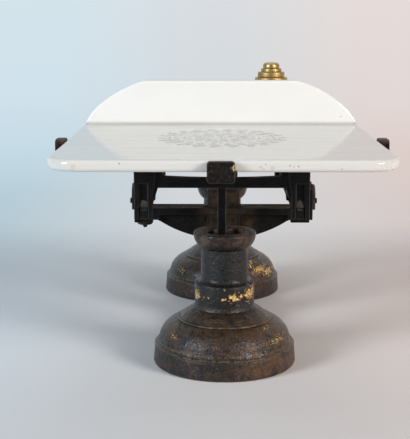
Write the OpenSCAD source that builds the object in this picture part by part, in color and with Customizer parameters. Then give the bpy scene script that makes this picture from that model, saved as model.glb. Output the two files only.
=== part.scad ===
// Counter scale: two pans on a rocking beam, kept level by a check link.
// X runs left to right, +Y from the goods side to the weights side, Z up.
// The origin lies on the counter, straight under the middle pivot.
// Sizes are in millimetres.

/* [Beam and pivots] */
// Distance from the middle pivot to each end pivot
arm = 142.5; // [130:0.5:155]
// Height of the line of the three pivots
pivot_z = 152; // [150:0.5:154]
// Middle of each side lever, left and right of the centre
lever_x = 78; // [76:0.5:79]
// Thickness of a side lever
lever_t = 8; // [7:0.5:9]
// Radius of the eye at the middle pivot
eye_r = 12; // [10:0.5:13]
// Height of a lever at its ends
lever_end_h = 13; // [12:0.5:15]
// Height of a knife's section
knife_h = 9; // [7:0.5:10]
// How far the beam and bearers sit to the left of the stand's middle
beam_slip = 3; // [0:0.1:3.1]

/* [Pedestals] */
// Radius of a pedestal at the counter
foot_r = 72; // [66:0.5:76]
// Radius of the moulded band above the dome
band_r = 30; // [28:0.5:32]
// Radius at the top of the column
column_r = 23; // [22:0.5:25]
// Radius of the collar's rim
collar_r = 31.4; // [29:0.2:33]
// Height of the collar's rim
collar_z = 134.5; // [130:0.5:136]
// Radius of the opening through the collar
mouth_r = 17.5; // [16:0.5:18]
// Thickness of the bell's wall
bell_wall = 5; // [4:0.5:6]

/* [Tunnel and centre foot] */
// Outer width of the tunnel between the pedestals
tunnel_w = 60; // [54:1:66]
// Outer height of the tunnel
tunnel_h = 28; // [27:0.5:30]
// Wall of the tunnel
tunnel_wall = 4; // [3:0.5:5]
// How far the tunnel's ends reach in past the pedestals' edges
tongue_grip = 22; // [18:1:26]
// Length of the centre foot along the tunnel
centre_foot_l = 50; // [40:1:60]
// Height of the check link's pins
link_z = 15; // [14.5:0.5:15.5]

/* [Stand] */
// Width of the post
post_w = 36; // [30:1:40]
// Depth of the post
post_d = 24; // [20:1:28]
// Height of the top of the post
post_z = 153; // [146:0.5:153]
// Flat on the post's upright corners
post_chamfer = 5; // [2:0.5:7]
// Half length of the cross-arm
cross_half = 100; // [98:0.5:104]
// Height of the top of the cross-arm
cross_z = 133.6; // [130:0.2:136]
// Thickness of the cross-arm's flange
flange_t = 7.4; // [6:0.2:9]
// Depth of the cross-arm's flange and cheeks
flange_d = 28; // [24:1:32]
// Height of the lowest point of the fish belly
belly_z = 96; // [92:0.5:100]
// Thickness of the belly's web
web_t = 10; // [8:0.5:12]
// Height of the end blocks
end_block_h = 14; // [12:0.5:16]
// Length of the end blocks
end_block_l = 28; // [24:1:32]
// Height of the top of the cheeks
cheek_z = 160.5; // [159:0.5:162]
// Inner face of each cheek, from the centre
cheek_in = 85.5; // [85:0.5:88]

/* [Bearers] */
// Half width of a bearer at its legs
yoke_half = 87.2; // [86:0.2:88]
// Height of the underside of the yoke's crossbar
yoke_bar_z = 178; // [175:0.5:180]
// Height of the yoke's crossbar
yoke_bar_h = 11; // [9:0.5:13]
// Depth of the yoke's legs and heads
yoke_d = 16; // [14:0.5:18]
// Depth of the yoke's crossbar
yoke_bar_d = 10; // [8.5:0.5:12]
// Width of the stay
stay_w = 8.5; // [7:0.5:10]
// Depth of the stay
stay_d = 7; // [6:0.5:8]
// Width of a spider's arms
spider_w = 24; // [20:1:28]
// Height of a spider's arms
spider_h = 12; // [10:0.5:14]

/* [Goods plate] */
// Width of the goods plate
plate_w = 307.5; // [280:1:320]
// Depth of the goods plate with its backboard
plate_d = 310; // [290:1:312]
// Thickness of the goods plate
plate_t = 9.2; // [8:0.2:12]
// Height of the top of the goods plate
plate_z = 226.2; // [224:0.2:230]
// Radius of the goods plate's front corners
plate_corner = 30; // [20:1:40]
// Corner radius of the plate beside the backboard
back_corner = 9; // [7:0.5:14]
// Height of the backboard above the plate
back_h = 49; // [40:1:60]
// Thickness of the backboard
back_t = 9; // [7:0.5:11]
// Half length of the backboard's flat top
back_flat = 80; // [70:1:90]
// Radius of the hollow between the backboard and the plate
nook_r = 2.5; // [1.5:0.5:8]
// Width of the lugs that hold the plate
lug_w = 24; // [20:1:28]
// Thickness of the lugs at the plate's sides
side_lug_t = 9.5; // [8:0.5:13]
// Thickness of the lugs at the plate's front and back
front_lug_t = 8; // [6:0.5:9]
// How far the front lug stands to the left of its arm
front_lug_off = 2.2; // [0:0.1:3]

/* [Weights pan and weights] */
// Gap between the goods plate's back lug and the pan's front lug
lug_clear = 5.2; // [3:0.2:8]
// Thickness of the lugs round the pan
pan_lug_t = 6; // [5:0.5:8]
// Thickness of the pan's sheet
pan_t = 3; // [2:0.5:4]
// Depth of the pan inside
pan_depth = 10; // [6:0.5:14]
// Height of the floor of the weights pan
pan_floor_z = 216.5; // [214:0.5:218]
// Width of the pan's rim beyond the stack of weights
stack_rim = 5; // [5:0.5:18]

/* [Fits] */
// Clearance round a pin that turns in its hole
run_gap = 0.05; // [0.02:0.01:0.1]
// Clearance beside a moving part
side_gap = 0.4; // [0.3:0.1:0.5]
// Gap between the plate or pan and the lugs around it
seat_gap = 0.4; // [0.3:0.1:1]

/* [Hidden] */
$fn = 72;
eps = 0.01;
lever_in = lever_x - lever_t / 2;
lever_out = lever_x + lever_t / 2;
lever_low = pivot_z - 7;
tine_t = (yoke_half - lever_out) - side_gap;
tine_out = yoke_half;
tine_in = lever_in - side_gap - tine_t;
tine_low = pivot_z - 5.5;
// top of the slot between a leg's two tines, and of the groove above it
tine_cap = pivot_z + 13;
groove_top = pivot_z + 30.5;
groove_depth = 4.5;
spider_top_goods = plate_z - plate_t;
spider_top_pan = pan_floor_z - pan_t;
tunnel_in = tunnel_w / 2 - tunnel_wall;
tunnel_roof = tunnel_h - tunnel_wall;
tongue_at = foot_r - tongue_grip;
tunnel_end = arm - tongue_at;
// screws that hold the tunnel up to the pads inside the pedestals
tunnel_screw_x = tunnel_in * 0.62;
tunnel_screw_in = 7;
tunnel_thread = 7;
tunnel_head_h = 3;
tunnel_head_r = 4;
ear_t = 4.5;
ear_half = centre_foot_l * 0.18;
ear_head_r = 6.5;
strip_t = 3.2;
strip_in = stay_w / 2 + side_gap + beam_slip;
strip_out = strip_in + strip_t;
pin_r = 3;
stay_pin_r = 2.5;
pin_head_t = 2;
stay_pin_over = 1.2;
stay_socket = 6;
strip_h = 6.8;
link_eye_r = 6.5;
bolt_r = 2.5;
cover_t = 2.8;
bearing_w = 12;
bearing_h = 9;
knife_tip = cross_half - beam_slip - 1;
pan_r = 2 * arm - plate_d / 2 - 2 * seat_gap - front_lug_t - pan_lug_t - lug_clear;
plate_front = -arm - plate_d / 2;
plate_back = -arm + plate_d / 2;
// diameters and heights of the set of weights, heaviest first
weight_d = [84, 68, 53, 40, 33, 25, 20];
weight_h = [18.5, 14.5, 11, 9.8, 6.4, 4.2, 7.2];
stack_x = pan_r - stack_rim - weight_d[0] / 2;
function weight_z(i) = i == 0 ? pan_floor_z : weight_z(i - 1) + weight_h[i - 1];

// Points on the circle through three points, from the first to the last.
function arc3(a, b, c, n = 12) =
    let (d = 2 * (a[0] * (b[1] - c[1]) + b[0] * (c[1] - a[1]) + c[0] * (a[1] - b[1])),
         cx = ((a * a) * (b[1] - c[1]) + (b * b) * (c[1] - a[1]) + (c * c) * (a[1] - b[1])) / d,
         cy = ((a * a) * (c[0] - b[0]) + (b * b) * (a[0] - c[0]) + (c * c) * (b[0] - a[0])) / d,
         r = norm(a - [cx, cy]),
         t0 = atan2(a[1] - cy, a[0] - cx),
         turn = (atan2(c[1] - cy, c[0] - cx) - t0 + 540) % 360 - 180)
    [for (i = [0 : n]) [cx + r * cos(t0 + turn * i / n), cy + r * sin(t0 + turn * i / n)]];

module colour_iron() {
    color([0.13, 0.12, 0.12]) children();
}

module colour_steel() {
    color([0.45, 0.44, 0.42]) children();
}

module colour_brass() {
    color([0.72, 0.56, 0.27]) children();
}

module along_x(x0, x1) {
    // A solid drawn in Y and Z, drawn out from x0 to x1.
    translate([x0, 0, 0])
        rotate([90, 0, 90])
            linear_extrude(x1 - x0)
                children();
}

module rod_x(x0, x1, y, z, r) {
    translate([x0, y, z])
        rotate([0, 90, 0])
            cylinder(h = x1 - x0, r = r);
}

// Pedestals

shoulder_r = foot_r - 25;
shoulder_z = 46;
dome_top_z = 57.6;
band_top_z = 83.4;
collar_foot_z = collar_z - 17.5;

// Outline of the bell from the counter up to the rim of the collar.
bell_outer = concat(
    [[foot_r - 2.4, 0], [foot_r - 0.8, 1], [foot_r, 3.2], [foot_r - 1.3, 18.8]],
    // fine ridge at the top of the skirt
    arc3([foot_r - 1.5, 19.2], [foot_r - 1.1, 20.1], [foot_r - 2, 21], 5),
    [[foot_r - 2.8, 21.6], [foot_r - 3.8, 23.4]],
    // round dome
    arc3([foot_r - 5.6, 26.4], [foot_r - 11.4, 38.2], [shoulder_r, shoulder_z], 16),
    // bead on its shoulder
    arc3([shoulder_r + 0.9, shoulder_z + 0.3], [shoulder_r + 0.2, shoulder_z + 1.6],
        [shoulder_r - 1.3, shoulder_z + 2], 5),
    // flare up to the band
    arc3([shoulder_r - 2, shoulder_z + 2.4], [shoulder_r - 6.9, shoulder_z + 6.4], [band_r + 1.2, dome_top_z], 8),
    [[band_r + 0.3, dome_top_z + 2.4], [band_r, dome_top_z + 5.4]],
    [[band_r, band_top_z - 1.2], [band_r - 1.2, band_top_z]],
    [[band_r - 3.6, band_top_z + 0.6], [column_r + 1.6, band_top_z + 2.8]],
    [[column_r, collar_foot_z]],
    arc3([column_r + 0.5, collar_foot_z + 0.8], [collar_r - 3, collar_foot_z + 5.8], [collar_r - 0.2, collar_foot_z + 13.5], 10),
    [[collar_r, collar_z - 1.6], [collar_r - 0.9, collar_z - 0.3], [collar_r - 2, collar_z]]
);

// Outline of the hollow, from the mouth down to the counter.
bell_inner = concat(
    [[mouth_r + 2.6, collar_z], [mouth_r, collar_z - 3], [mouth_r, collar_foot_z - 2]],
    [[column_r + 1.4 - bell_wall, band_top_z - 2], [band_r - bell_wall - 1.5, dome_top_z + 2]],
    arc3([band_r - 3, dome_top_z - 4.6], [shoulder_r - 10.5, shoulder_z + 2.6], [shoulder_r - 4, shoulder_z - 3.4], 6),
    arc3([shoulder_r - 3, shoulder_z - 4.4], [foot_r - 16.1, 35], [foot_r - 10.8, 25], 10),
    [[foot_r - 6.2, 19], [foot_r - 6, 0]]
);

module bell_solid() {
    rotate_extrude($fn = 96)
        polygon(concat([[0, 0]], bell_outer, [[0, collar_z]]));
}

module pedestal(side) {
    // side is -1 for the goods side and +1 for the weights side.
    colour_iron()
        translate([0, side * arm, 0])
            difference() {
                union() {
                    rotate_extrude($fn = 96)
                        polygon(concat(bell_outer, bell_inner));
                    // pad that the tunnel's tongue is screwed up to
                    intersection() {
                        bell_solid();
                        translate([-tunnel_in, -side * (tongue_at + tunnel_screw_in) - tunnel_screw_in, tunnel_h])
                            cube([2 * tunnel_in, 2 * tunnel_screw_in, shoulder_z - tunnel_h]);
                    }
                }
                // way through the wall for the tunnel
                translate([-tunnel_w / 2, side > 0 ? -foot_r - 5 : tongue_at - 5, -1])
                    cube([tunnel_w, foot_r - tongue_at + 10, tunnel_h + 1]);
                for (x = [-1, 1])
                    translate([x * tunnel_screw_x, -side * (tongue_at + tunnel_screw_in), tunnel_h - 1])
                        cylinder(h = tunnel_thread + 1, r = bolt_r, $fn = 32);
            }
}

module tunnel_screws(side) {
    colour_steel()
        for (x = [-1, 1])
            translate([x * tunnel_screw_x, side * (tunnel_end - tunnel_screw_in), 0]) {
                translate([0, 0, tunnel_roof])
                    cylinder(h = tunnel_wall + tunnel_thread, r = bolt_r, $fn = 32);
                translate([0, 0, tunnel_roof - tunnel_head_h])
                    cylinder(h = tunnel_head_h, r = tunnel_head_r, $fn = 6);
            }
}

// Tunnel and centre foot

module tunnel() {
    colour_iron()
        difference() {
            translate([-tunnel_w / 2, -tunnel_end, 0])
                cube([tunnel_w, 2 * tunnel_end, tunnel_h]);
            translate([-tunnel_in, -tunnel_end - 1, -1])
                cube([2 * tunnel_in, 2 * tunnel_end + 2, tunnel_roof + 1]);
            // holes for the screws into the pedestals
            for (x = [-1, 1])
                for (y = [-1, 1])
                    translate([x * tunnel_screw_x, y * (tunnel_end - tunnel_screw_in), tunnel_roof - 1])
                        cylinder(h = tunnel_wall + 2, r = bolt_r, $fn = 32);
            // holes for the stand's screws
            for (x = [-1, 1])
                for (y = [-1, 1])
                    translate([x * stand_screw_x, y * stand_screw_y, tunnel_roof - 1])
                        cylinder(h = tunnel_wall + 2, r = bolt_r, $fn = 32);
            // holes for the rivets of the centre foot
            for (y = [-1, 1])
                rod_x(-tunnel_w / 2 - 1, tunnel_w / 2 + 1, y * rivet_y, rivet_z, rivet_r);
        }
}

rivet_y = centre_foot_l / 2 - 9;
rivet_z = 9;
rivet_r = 2;
rivet_head_r = 3.6;
rivet_head_t = 1.6;
foot_floor_t = 3;
foot_wall_t = 4;

module centre_foot() {
    // Closes the tunnel below the post and carries the check link's pin.
    colour_iron()
        difference() {
            union() {
                translate([-tunnel_in, -centre_foot_l / 2, 0])
                    cube([2 * tunnel_in, centre_foot_l, foot_floor_t]);
                for (x = [-1, 1])
                    translate([x > 0 ? tunnel_in - foot_wall_t : -tunnel_in, -centre_foot_l / 2, 0])
                        cube([foot_wall_t, centre_foot_l, link_z]);
                for (x = [-1, 1])
                    along_x(x > 0 ? ear_in : -ear_in - ear_t, x > 0 ? ear_in + ear_t : -ear_in)
                        polygon(concat([[-ear_half, foot_floor_t], [ear_half, foot_floor_t]],
                            arc3([ear_head_r, link_z + 0.5], [0, link_z + ear_head_r - 0.1], [-ear_head_r, link_z + 0.5], 14)));
            }
            rod_x(-tunnel_in + 5, tunnel_in - 5, 0, link_z, pin_r);
            for (y = [-1, 1])
                rod_x(-tunnel_in - 1, tunnel_in + 1, y * rivet_y, rivet_z, rivet_r);
        }
}

ear_in = strip_out + side_gap;

module foot_rivets() {
    colour_steel()
        for (x = [-1, 1])
            for (y = [-1, 1]) {
                rod_x(x > 0 ? tunnel_in - foot_wall_t : -tunnel_w / 2, x > 0 ? tunnel_w / 2 : -tunnel_in + foot_wall_t,
                    y * rivet_y, rivet_z, rivet_r);
                rod_x(x > 0 ? tunnel_w / 2 : -tunnel_w / 2 - rivet_head_t,
                    x > 0 ? tunnel_w / 2 + rivet_head_t : -tunnel_w / 2, y * rivet_y, rivet_z, rivet_head_r);
            }
}

module link_pin() {
    colour_steel() {
        rod_x(-ear_in - ear_t, ear_in + ear_t, 0, link_z, pin_r);
        rod_x(ear_in + ear_t, ear_in + ear_t + pin_head_t, 0, link_z, pin_r + pin_head_t);
        rod_x(-ear_in - ear_t - pin_head_t, -ear_in - ear_t, 0, link_z, pin_r + pin_head_t);
    }
}

// Stand with its fish-bellied cross-arm

stand_foot_w = 2 * tunnel_in;
stand_foot_d = 46;
stand_foot_h = 6;
stand_screw_x = stand_foot_w / 2 - 5;
stand_screw_y = stand_foot_d / 2 - 5.5;
stand_screw_head = 2.6;
cheek_w = cross_half - cheek_in;

module cross_outline() {
    // Front view of the cross-arm's web: straight top and a bellied bottom.
    half = cross_half - end_block_l;
    low = cross_z - end_block_h - 2;
    polygon(concat([[-half - 2, cross_z - flange_t], [-half - 2, low]],
        arc3([-half, low - 0.4], [0, belly_z], [half, low - 0.4], 36),
        [[half + 2, low], [half + 2, cross_z - flange_t]]));
}

module corner_fill(x, z, side, r) {
    // Concave corner of radius r, filling outwards along X and upwards along Z.
    translate([x, z])
        scale([side, 1])
            difference() {
                square(r);
                translate([r, r])
                    circle(r = r, $fn = 40);
            }
}

module post_sweeps() {
    // Front view of the sweeps from the post to its foot and to the cross-arm.
    half = post_w / 2 - post_chamfer;
    foot_top = tunnel_h + stand_foot_h;
    sweep = post_chamfer + 8;
    for (s = [-1, 1]) {
        corner_fill(s * half, foot_top, s, sweep);
        corner_fill(s * half, cross_z, s, sweep);
        translate([0, 2 * (cross_z - flange_t)])
            mirror([0, 1])
                corner_fill(s * half, cross_z - flange_t, s, sweep);
    }
}

module post_section() {
    // Section of the post with flats on its upright corners.
    x = post_w / 2;
    y = post_d / 2;
    c = post_chamfer;
    polygon([[-x, -y + c], [-x + c, -y], [x - c, -y], [x, -y + c], [x, y - c], [x - c, y], [-x + c, y], [-x, y - c]]);
}

module eased_top(width) {
    // Upright outline of the post with a small flat along its top edges.
    half = width / 2;
    ease = 1.5;
    polygon([[-half, tunnel_h], [-half, post_z - ease], [-half + ease, post_z],
        [half - ease, post_z], [half, post_z - ease], [half, tunnel_h]]);
}

module post() {
    intersection() {
        translate([0, 0, tunnel_h])
            linear_extrude(post_z - tunnel_h)
                post_section();
        rotate([90, 0, 0])
            linear_extrude(post_d, center = true)
                eased_top(post_w);
        along_x(-post_w / 2, post_w / 2)
            eased_top(post_d);
    }
}

module cheek(side) {
    // side is -1 on the left and +1 on the right.
    x0 = side > 0 ? cheek_in : -cross_half;
    difference() {
        along_x(x0, x0 + cheek_w)
            polygon([[-flange_d / 2, cross_z - eps], [flange_d / 2, cross_z - eps],
                [flange_d / 2, cheek_z - 5], [flange_d / 2 - 4, cheek_z],
                [-flange_d / 2 + 4, cheek_z], [-flange_d / 2, cheek_z - 5]]);
        // slot that takes the bearing and lets the knife in from above
        along_x(x0 - 1, x0 + cheek_w + 1)
            translate([-bearing_w / 2, pivot_z - bearing_h])
                square([bearing_w, cheek_z]);
        for (y = [-1, 1])
            rod_x(x0 - 1, x0 + cheek_w + 1, y * cover_screw_y, cover_screw_z, 1.5);
    }
}

module stand() {
    colour_iron()
        difference() {
            union() {
                post();
                rotate([90, 0, 0])
                    linear_extrude(post_d - 2 * post_chamfer, center = true)
                        post_sweeps();
                // foot of the post
                translate([-stand_foot_w / 2, -stand_foot_d / 2, tunnel_h])
                    cube([stand_foot_w, stand_foot_d, stand_foot_h]);
                // flange of the cross-arm
                translate([-cross_half, -flange_d / 2, cross_z - flange_t])
                    cube([2 * cross_half, flange_d, flange_t]);
                // bellied web
                rotate([90, 0, 0])
                    linear_extrude(web_t, center = true)
                        cross_outline();
                // end blocks
                for (s = [-1, 1])
                    along_x(s > 0 ? cross_half - end_block_l : -cross_half, s > 0 ? cross_half : -cross_half + end_block_l)
                        polygon([[-flange_d / 2, cross_z], [-flange_d / 2, cross_z - end_block_h + 2],
                            [-flange_d / 2 + 2, cross_z - end_block_h], [flange_d / 2 - 2, cross_z - end_block_h],
                            [flange_d / 2, cross_z - end_block_h + 2], [flange_d / 2, cross_z]]);
                for (s = [-1, 1])
                    cheek(s);
            }
            // screws into the tunnel
            for (x = [-1, 1])
                for (y = [-1, 1])
                    translate([x * stand_screw_x, y * stand_screw_y, tunnel_h - 1])
                        cylinder(h = stand_foot_h + 2, r = bolt_r, $fn = 32);
        }
}

module stand_screws() {
    colour_steel()
        for (x = [-1, 1])
            for (y = [-1, 1])
                translate([x * stand_screw_x, y * stand_screw_y, 0]) {
                    translate([0, 0, tunnel_roof - 2])
                        cylinder(h = tunnel_wall + stand_foot_h + 2, r = bolt_r, $fn = 32);
                    translate([0, 0, tunnel_h + stand_foot_h])
                        cylinder(h = stand_screw_head, r1 = 4.3, r2 = 3.2, $fn = 32);
                }
}

module fulcrum_bearing(side) {
    // Steel block with an upward groove, let into the cheek.
    x0 = side > 0 ? cheek_in : -cross_half;
    colour_steel()
        along_x(x0, x0 + cheek_w)
            polygon([[-bearing_w / 2, pivot_z - bearing_h], [bearing_w / 2, pivot_z - bearing_h],
                [bearing_w / 2, pivot_z + 3.2], [4.6, pivot_z + 3.2],
                [0, pivot_z - run_gap], [-4.6, pivot_z + 3.2], [-bearing_w / 2, pivot_z + 3.2]]);
}

cover_screw_y = flange_d / 2 - 4;
cover_screw_z = cross_z + 8;

module cover(side) {
    // Rounded plate over the end of a middle bearing; the right one is lower.
    x0 = side > 0 ? cross_half : -cross_half - cover_t;
    top = side > 0 ? pivot_z + 6.5 : pivot_z + 8;
    colour_steel()
        difference() {
            along_x(x0, x0 + cover_t)
                polygon(concat([[-flange_d / 2 + 1, cross_z - 2], [flange_d / 2 - 1, cross_z - 2]],
                    arc3([flange_d / 2 - 1, top - 8], [0, top], [-flange_d / 2 + 1, top - 8], 16)));
            for (y = [-1, 1])
                rod_x(x0 - 1, x0 + cover_t + 1, y * cover_screw_y, cover_screw_z, 1.5);
        }
}

module cover_screws(side) {
    colour_steel()
        for (y = [-1, 1]) {
            rod_x(side > 0 ? cross_half - 8 : -cross_half - cover_t, side > 0 ? cross_half + cover_t : -cross_half + 8,
                y * cover_screw_y, cover_screw_z, 1.5);
            rod_x(side > 0 ? cross_half + cover_t : -cross_half - cover_t - 1.8,
                side > 0 ? cross_half + cover_t + 1.8 : -cross_half - cover_t,
                y * cover_screw_y, cover_screw_z, 3);
        }
}

// Beam

module lever_outline() {
    // Side view of a lever: tall at the middle eye, tapering to both ends.
    end = arm + lever_end_h / 2;
    top_end = lever_low + lever_end_h;
    difference() {
        union() {
            polygon([[-end, lever_low + 2], [-end + 2, lever_low], [end - 2, lever_low],
                [end, lever_low + 2], [end, top_end - 2], [end - 2, top_end],
                [eye_r + 4, pivot_z + eye_r - 3], [-eye_r - 4, pivot_z + eye_r - 3],
                [-end + 2, top_end], [-end, top_end - 2]]);
            translate([0, pivot_z])
                circle(r = eye_r, $fn = 48);
        }
        // seats for the three knives
        knife_outline(0, 1);
        knife_outline(-arm, -1);
        knife_outline(arm, -1);
    }
}

module knife_outline(y, up) {
    // Wedge with its edge on the pivot line; up is 1 when the body is above the edge.
    half = knife_h * 0.46;
    polygon([[y, pivot_z], [y + half, pivot_z + up * knife_h * 0.62], [y + half, pivot_z + up * knife_h],
        [y - half, pivot_z + up * knife_h], [y - half, pivot_z + up * knife_h * 0.62]]);
}

// ties between the side levers: over the post, and half way to the weights side
mid_tie_y = 7;
far_tie_y = arm - 82.5;
tie_d = 14;
tie_z = post_z + 2.5;
tie_h = 6;
far_tie_z = lever_low + 1;
balance_y = -arm + 19;

module beam() {
    colour_iron()
        difference() {
            union() {
                for (s = [-1, 1])
                    along_x(s > 0 ? lever_in : -lever_out, s > 0 ? lever_out : -lever_in)
                        lever_outline();
                // tie over the post
                translate([-lever_in - eps, mid_tie_y, tie_z])
                    cube([2 * lever_in + 2 * eps, tie_d, tie_h]);
                // tie on the weights side
                translate([-lever_in - eps, far_tie_y, far_tie_z])
                    cube([2 * lever_in + 2 * eps, tie_d, tie_h]);
                // pad for the balance box under the left lever
                translate([-lever_out, balance_y - 9, lever_low - 1])
                    cube([lever_t, 18, 3]);
            }
            // screw hole for the balance box
            translate([-lever_x, balance_y, lever_low - 2])
                cylinder(h = 6, r = balance_stud_r, $fn = 24);
        }
}

module end_knife(side, y) {
    x0 = side > 0 ? tine_in : -tine_out;
    colour_steel()
        along_x(x0, x0 + tine_out - tine_in)
            knife_outline(y, -1);
}

module fulcrum_knife(side) {
    colour_steel()
        along_x(side > 0 ? lever_in - 2 : -knife_tip, side > 0 ? knife_tip : -lever_in + 2)
            knife_outline(0, 1);
}

balance_r = 8.2;
balance_h = 7;
balance_low = lever_low - 1 - balance_h;
balance_stud_r = 2;
plug_r = 5;
plug_t = 2.5;

module balance_box() {
    // Round lead-filled box that sets the empty scale level.
    colour_iron()
        translate([-lever_x, balance_y, balance_low])
            difference() {
                union() {
                    rotate_extrude($fn = 48)
                        polygon([[0, 0], [balance_r - 1.6, 0], [balance_r, 1.6], [balance_r, balance_h - 0.8],
                            [balance_r - 0.8, balance_h], [0, balance_h]]);
                    cylinder(h = balance_h + 5, r = balance_stud_r, $fn = 24);
                }
                translate([0, 0, -1])
                    cylinder(h = plug_t + 1, r = plug_r, $fn = 32);
            }
}

module balance_plug() {
    // Screwed plug with a knob below it.
    colour_brass()
        translate([-lever_x, balance_y, balance_low]) {
            cylinder(h = plug_t, r = plug_r, $fn = 32);
            translate([0, 0, -3.2])
                rotate_extrude($fn = 32)
                    polygon([[0, 0], [1.3, 0], [2.2, 0.9], [2.2, 1.9], [1.6, 2.3], [1.6, 2.8], [3.4, 3.2], [0, 3.2]]);
        }
}

// Bearers

module rib(length, deep, thin) {
    // Side view of a spider's rib, deep at the hub and shallow at the lug.
    polygon([[0, 0], [length, 0], [length, -thin], [30, -deep], [0, -deep]]);
}

module spider_arm(length, top, thin) {
    // Arm along +X: flat top plate over a tapering rib.
    translate([0, -spider_w / 2, top - 5])
        cube([length, spider_w, 5]);
    translate([0, 4, top - 5])
        rotate([90, 0, 0])
            linear_extrude(8)
                rib(length, spider_h - 5, thin);
}

module spider_heads(y, top) {
    // Pads that the yoke's heads are bolted to.
    for (s = [-1, 1])
        translate([s > 0 ? head_in : -yoke_half, y - yoke_d / 2, top - spider_h])
            cube([yoke_half - head_in, yoke_d, spider_h - 5]);
}

head_in = 57.5;
head_bolt_x = (head_in + yoke_half) / 2;
head_bolt_l = 10;

module spider_bolt_holes(y, top) {
    for (s = [-1, 1])
        translate([s * head_bolt_x, y, 0]) {
            translate([0, 0, top - spider_h - 1])
                cylinder(h = spider_h + 2, r = bolt_r, $fn = 32);
            translate([0, 0, top - 3])
                cylinder(h = 3.01, r1 = bolt_r, r2 = bolt_r + 3.01, $fn = 32);
        }
}

module goods_spider() {
    top = spider_top_goods;
    side_len = plate_w / 2 + seat_gap;
    front_len = plate_d / 2 + seat_gap;
    colour_iron()
        difference() {
            union() {
                translate([0, -arm, 0]) {
                    for (a = [0, 180])
                        rotate(a) {
                            spider_arm(side_len, top, 2.4);
                            // side lug, rounded at its top corners
                            along_x(side_len, side_len + side_lug_t)
                                lug_outline(top - 7.4, plate_z + 0.6, 5);
                        }
                    for (a = [90, 270])
                        rotate(a) {
                            spider_arm(front_len, top, 2.4);
                            // the front lug was cast a little to the left of its arm
                            translate([0, a == 270 ? -front_lug_off : 0, 0])
                                along_x(front_len, front_len + front_lug_t)
                                    lug_outline(top - 9.6, plate_z - 0.2, 3);
                        }
                    translate([0, 0, top - spider_h])
                        cylinder(h = spider_h, r = 26, $fn = 64);
                }
                spider_heads(-arm, top);
            }
            spider_bolt_holes(-arm, top);
        }
}

module lug_outline(low, high, ease) {
    polygon(concat([[-lug_w / 2, low + 2], [-lug_w / 2 + 2, low], [lug_w / 2 - 2, low], [lug_w / 2, low + 2]],
        arc3([lug_w / 2, high - ease], [lug_w / 2 - 0.3 * ease, high - 0.3 * ease], [lug_w / 2 - ease, high], 5),
        arc3([-lug_w / 2 + ease, high], [-lug_w / 2 + 0.3 * ease, high - 0.3 * ease], [-lug_w / 2, high - ease], 5)));
}

module weights_spider() {
    top = spider_top_pan;
    reach = pan_r + seat_gap;
    colour_iron()
        difference() {
            union() {
                translate([0, arm, 0]) {
                    for (a = [0, 90, 180, 270])
                        rotate(a) {
                            difference() {
                                union() {
                                    spider_arm(reach + pan_lug_t, top, 2.4);
                                    along_x(pan_r - 6, reach + pan_lug_t)
                                        lug_outline(top - 7.4, top + 8, 3);
                                }
                                translate([0, 0, top])
                                    cylinder(h = 20, r = reach, $fn = 120);
                            }
                        }
                    translate([0, 0, top - spider_h])
                        cylinder(h = spider_h, r = 26, $fn = 64);
                }
                spider_heads(arm, top);
            }
            spider_bolt_holes(arm, top);
        }
}

leg_foot_z = pivot_z + 9;
gusset_in = tine_in - 5.3;
head_face_in = tine_in - 2.3;

module yoke_bar_outline(top) {
    // Front view: a sagging crossbar with a gusset at each leg and an end under each head.
    bar_top = yoke_bar_z + yoke_bar_h;
    polygon(concat(
        [[-tine_in - 1, leg_foot_z], [-tine_in - 1, top], [-head_in, top], [-head_in - 1, bar_top + 2]],
        arc3([-head_in + 1.5, bar_top + 0.4], [0, bar_top - 1.2], [head_in - 1.5, bar_top + 0.4], 16),
        [[head_in + 1, bar_top + 2], [head_in, top], [tine_in + 1, top], [tine_in + 1, leg_foot_z],
         [tine_in, leg_foot_z], [gusset_in, yoke_bar_z], [-gusset_in, yoke_bar_z], [-tine_in, leg_foot_z]]));
}

module yoke_leg_outline(top) {
    // Front view of a right-hand leg with its head, forked over the lever.
    slot_in = tine_in + tine_t;
    slot_out = tine_out - tine_t;
    difference() {
        polygon([[tine_in, tine_low], [tine_in, yoke_bar_z - 5], [head_face_in, yoke_bar_z + 7], [head_face_in, top],
            [yoke_half, top], [yoke_half, tine_low]]);
        polygon([[slot_in, tine_low - 1], [slot_in, tine_cap - 3], [slot_in + 3, tine_cap],
            [slot_out - 3, tine_cap], [slot_out, tine_cap - 3], [slot_out, tine_low - 1]]);
    }
}

module steel_outline(y) {
    // Bearing steel with a downward groove that rides on an end knife.
    polygon([[y - 6, pivot_z - 3.5], [y - 4.6, pivot_z - 3.5], [y, pivot_z + run_gap], [y + 4.6, pivot_z - 3.5],
        [y + 6, pivot_z - 3.5], [y + 6, pivot_z + 7], [y - 6, pivot_z + 7]]);
}

module groove() {
    // Shallow groove that carries a leg's slot on upwards, cut to both sides of the face.
    low = tine_cap - 3;
    translate([0, 0, (low + groove_top) / 2])
        cube([tine_out - tine_in - 2 * tine_t, 2 * groove_depth, groove_top - low], center = true);
}

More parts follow.
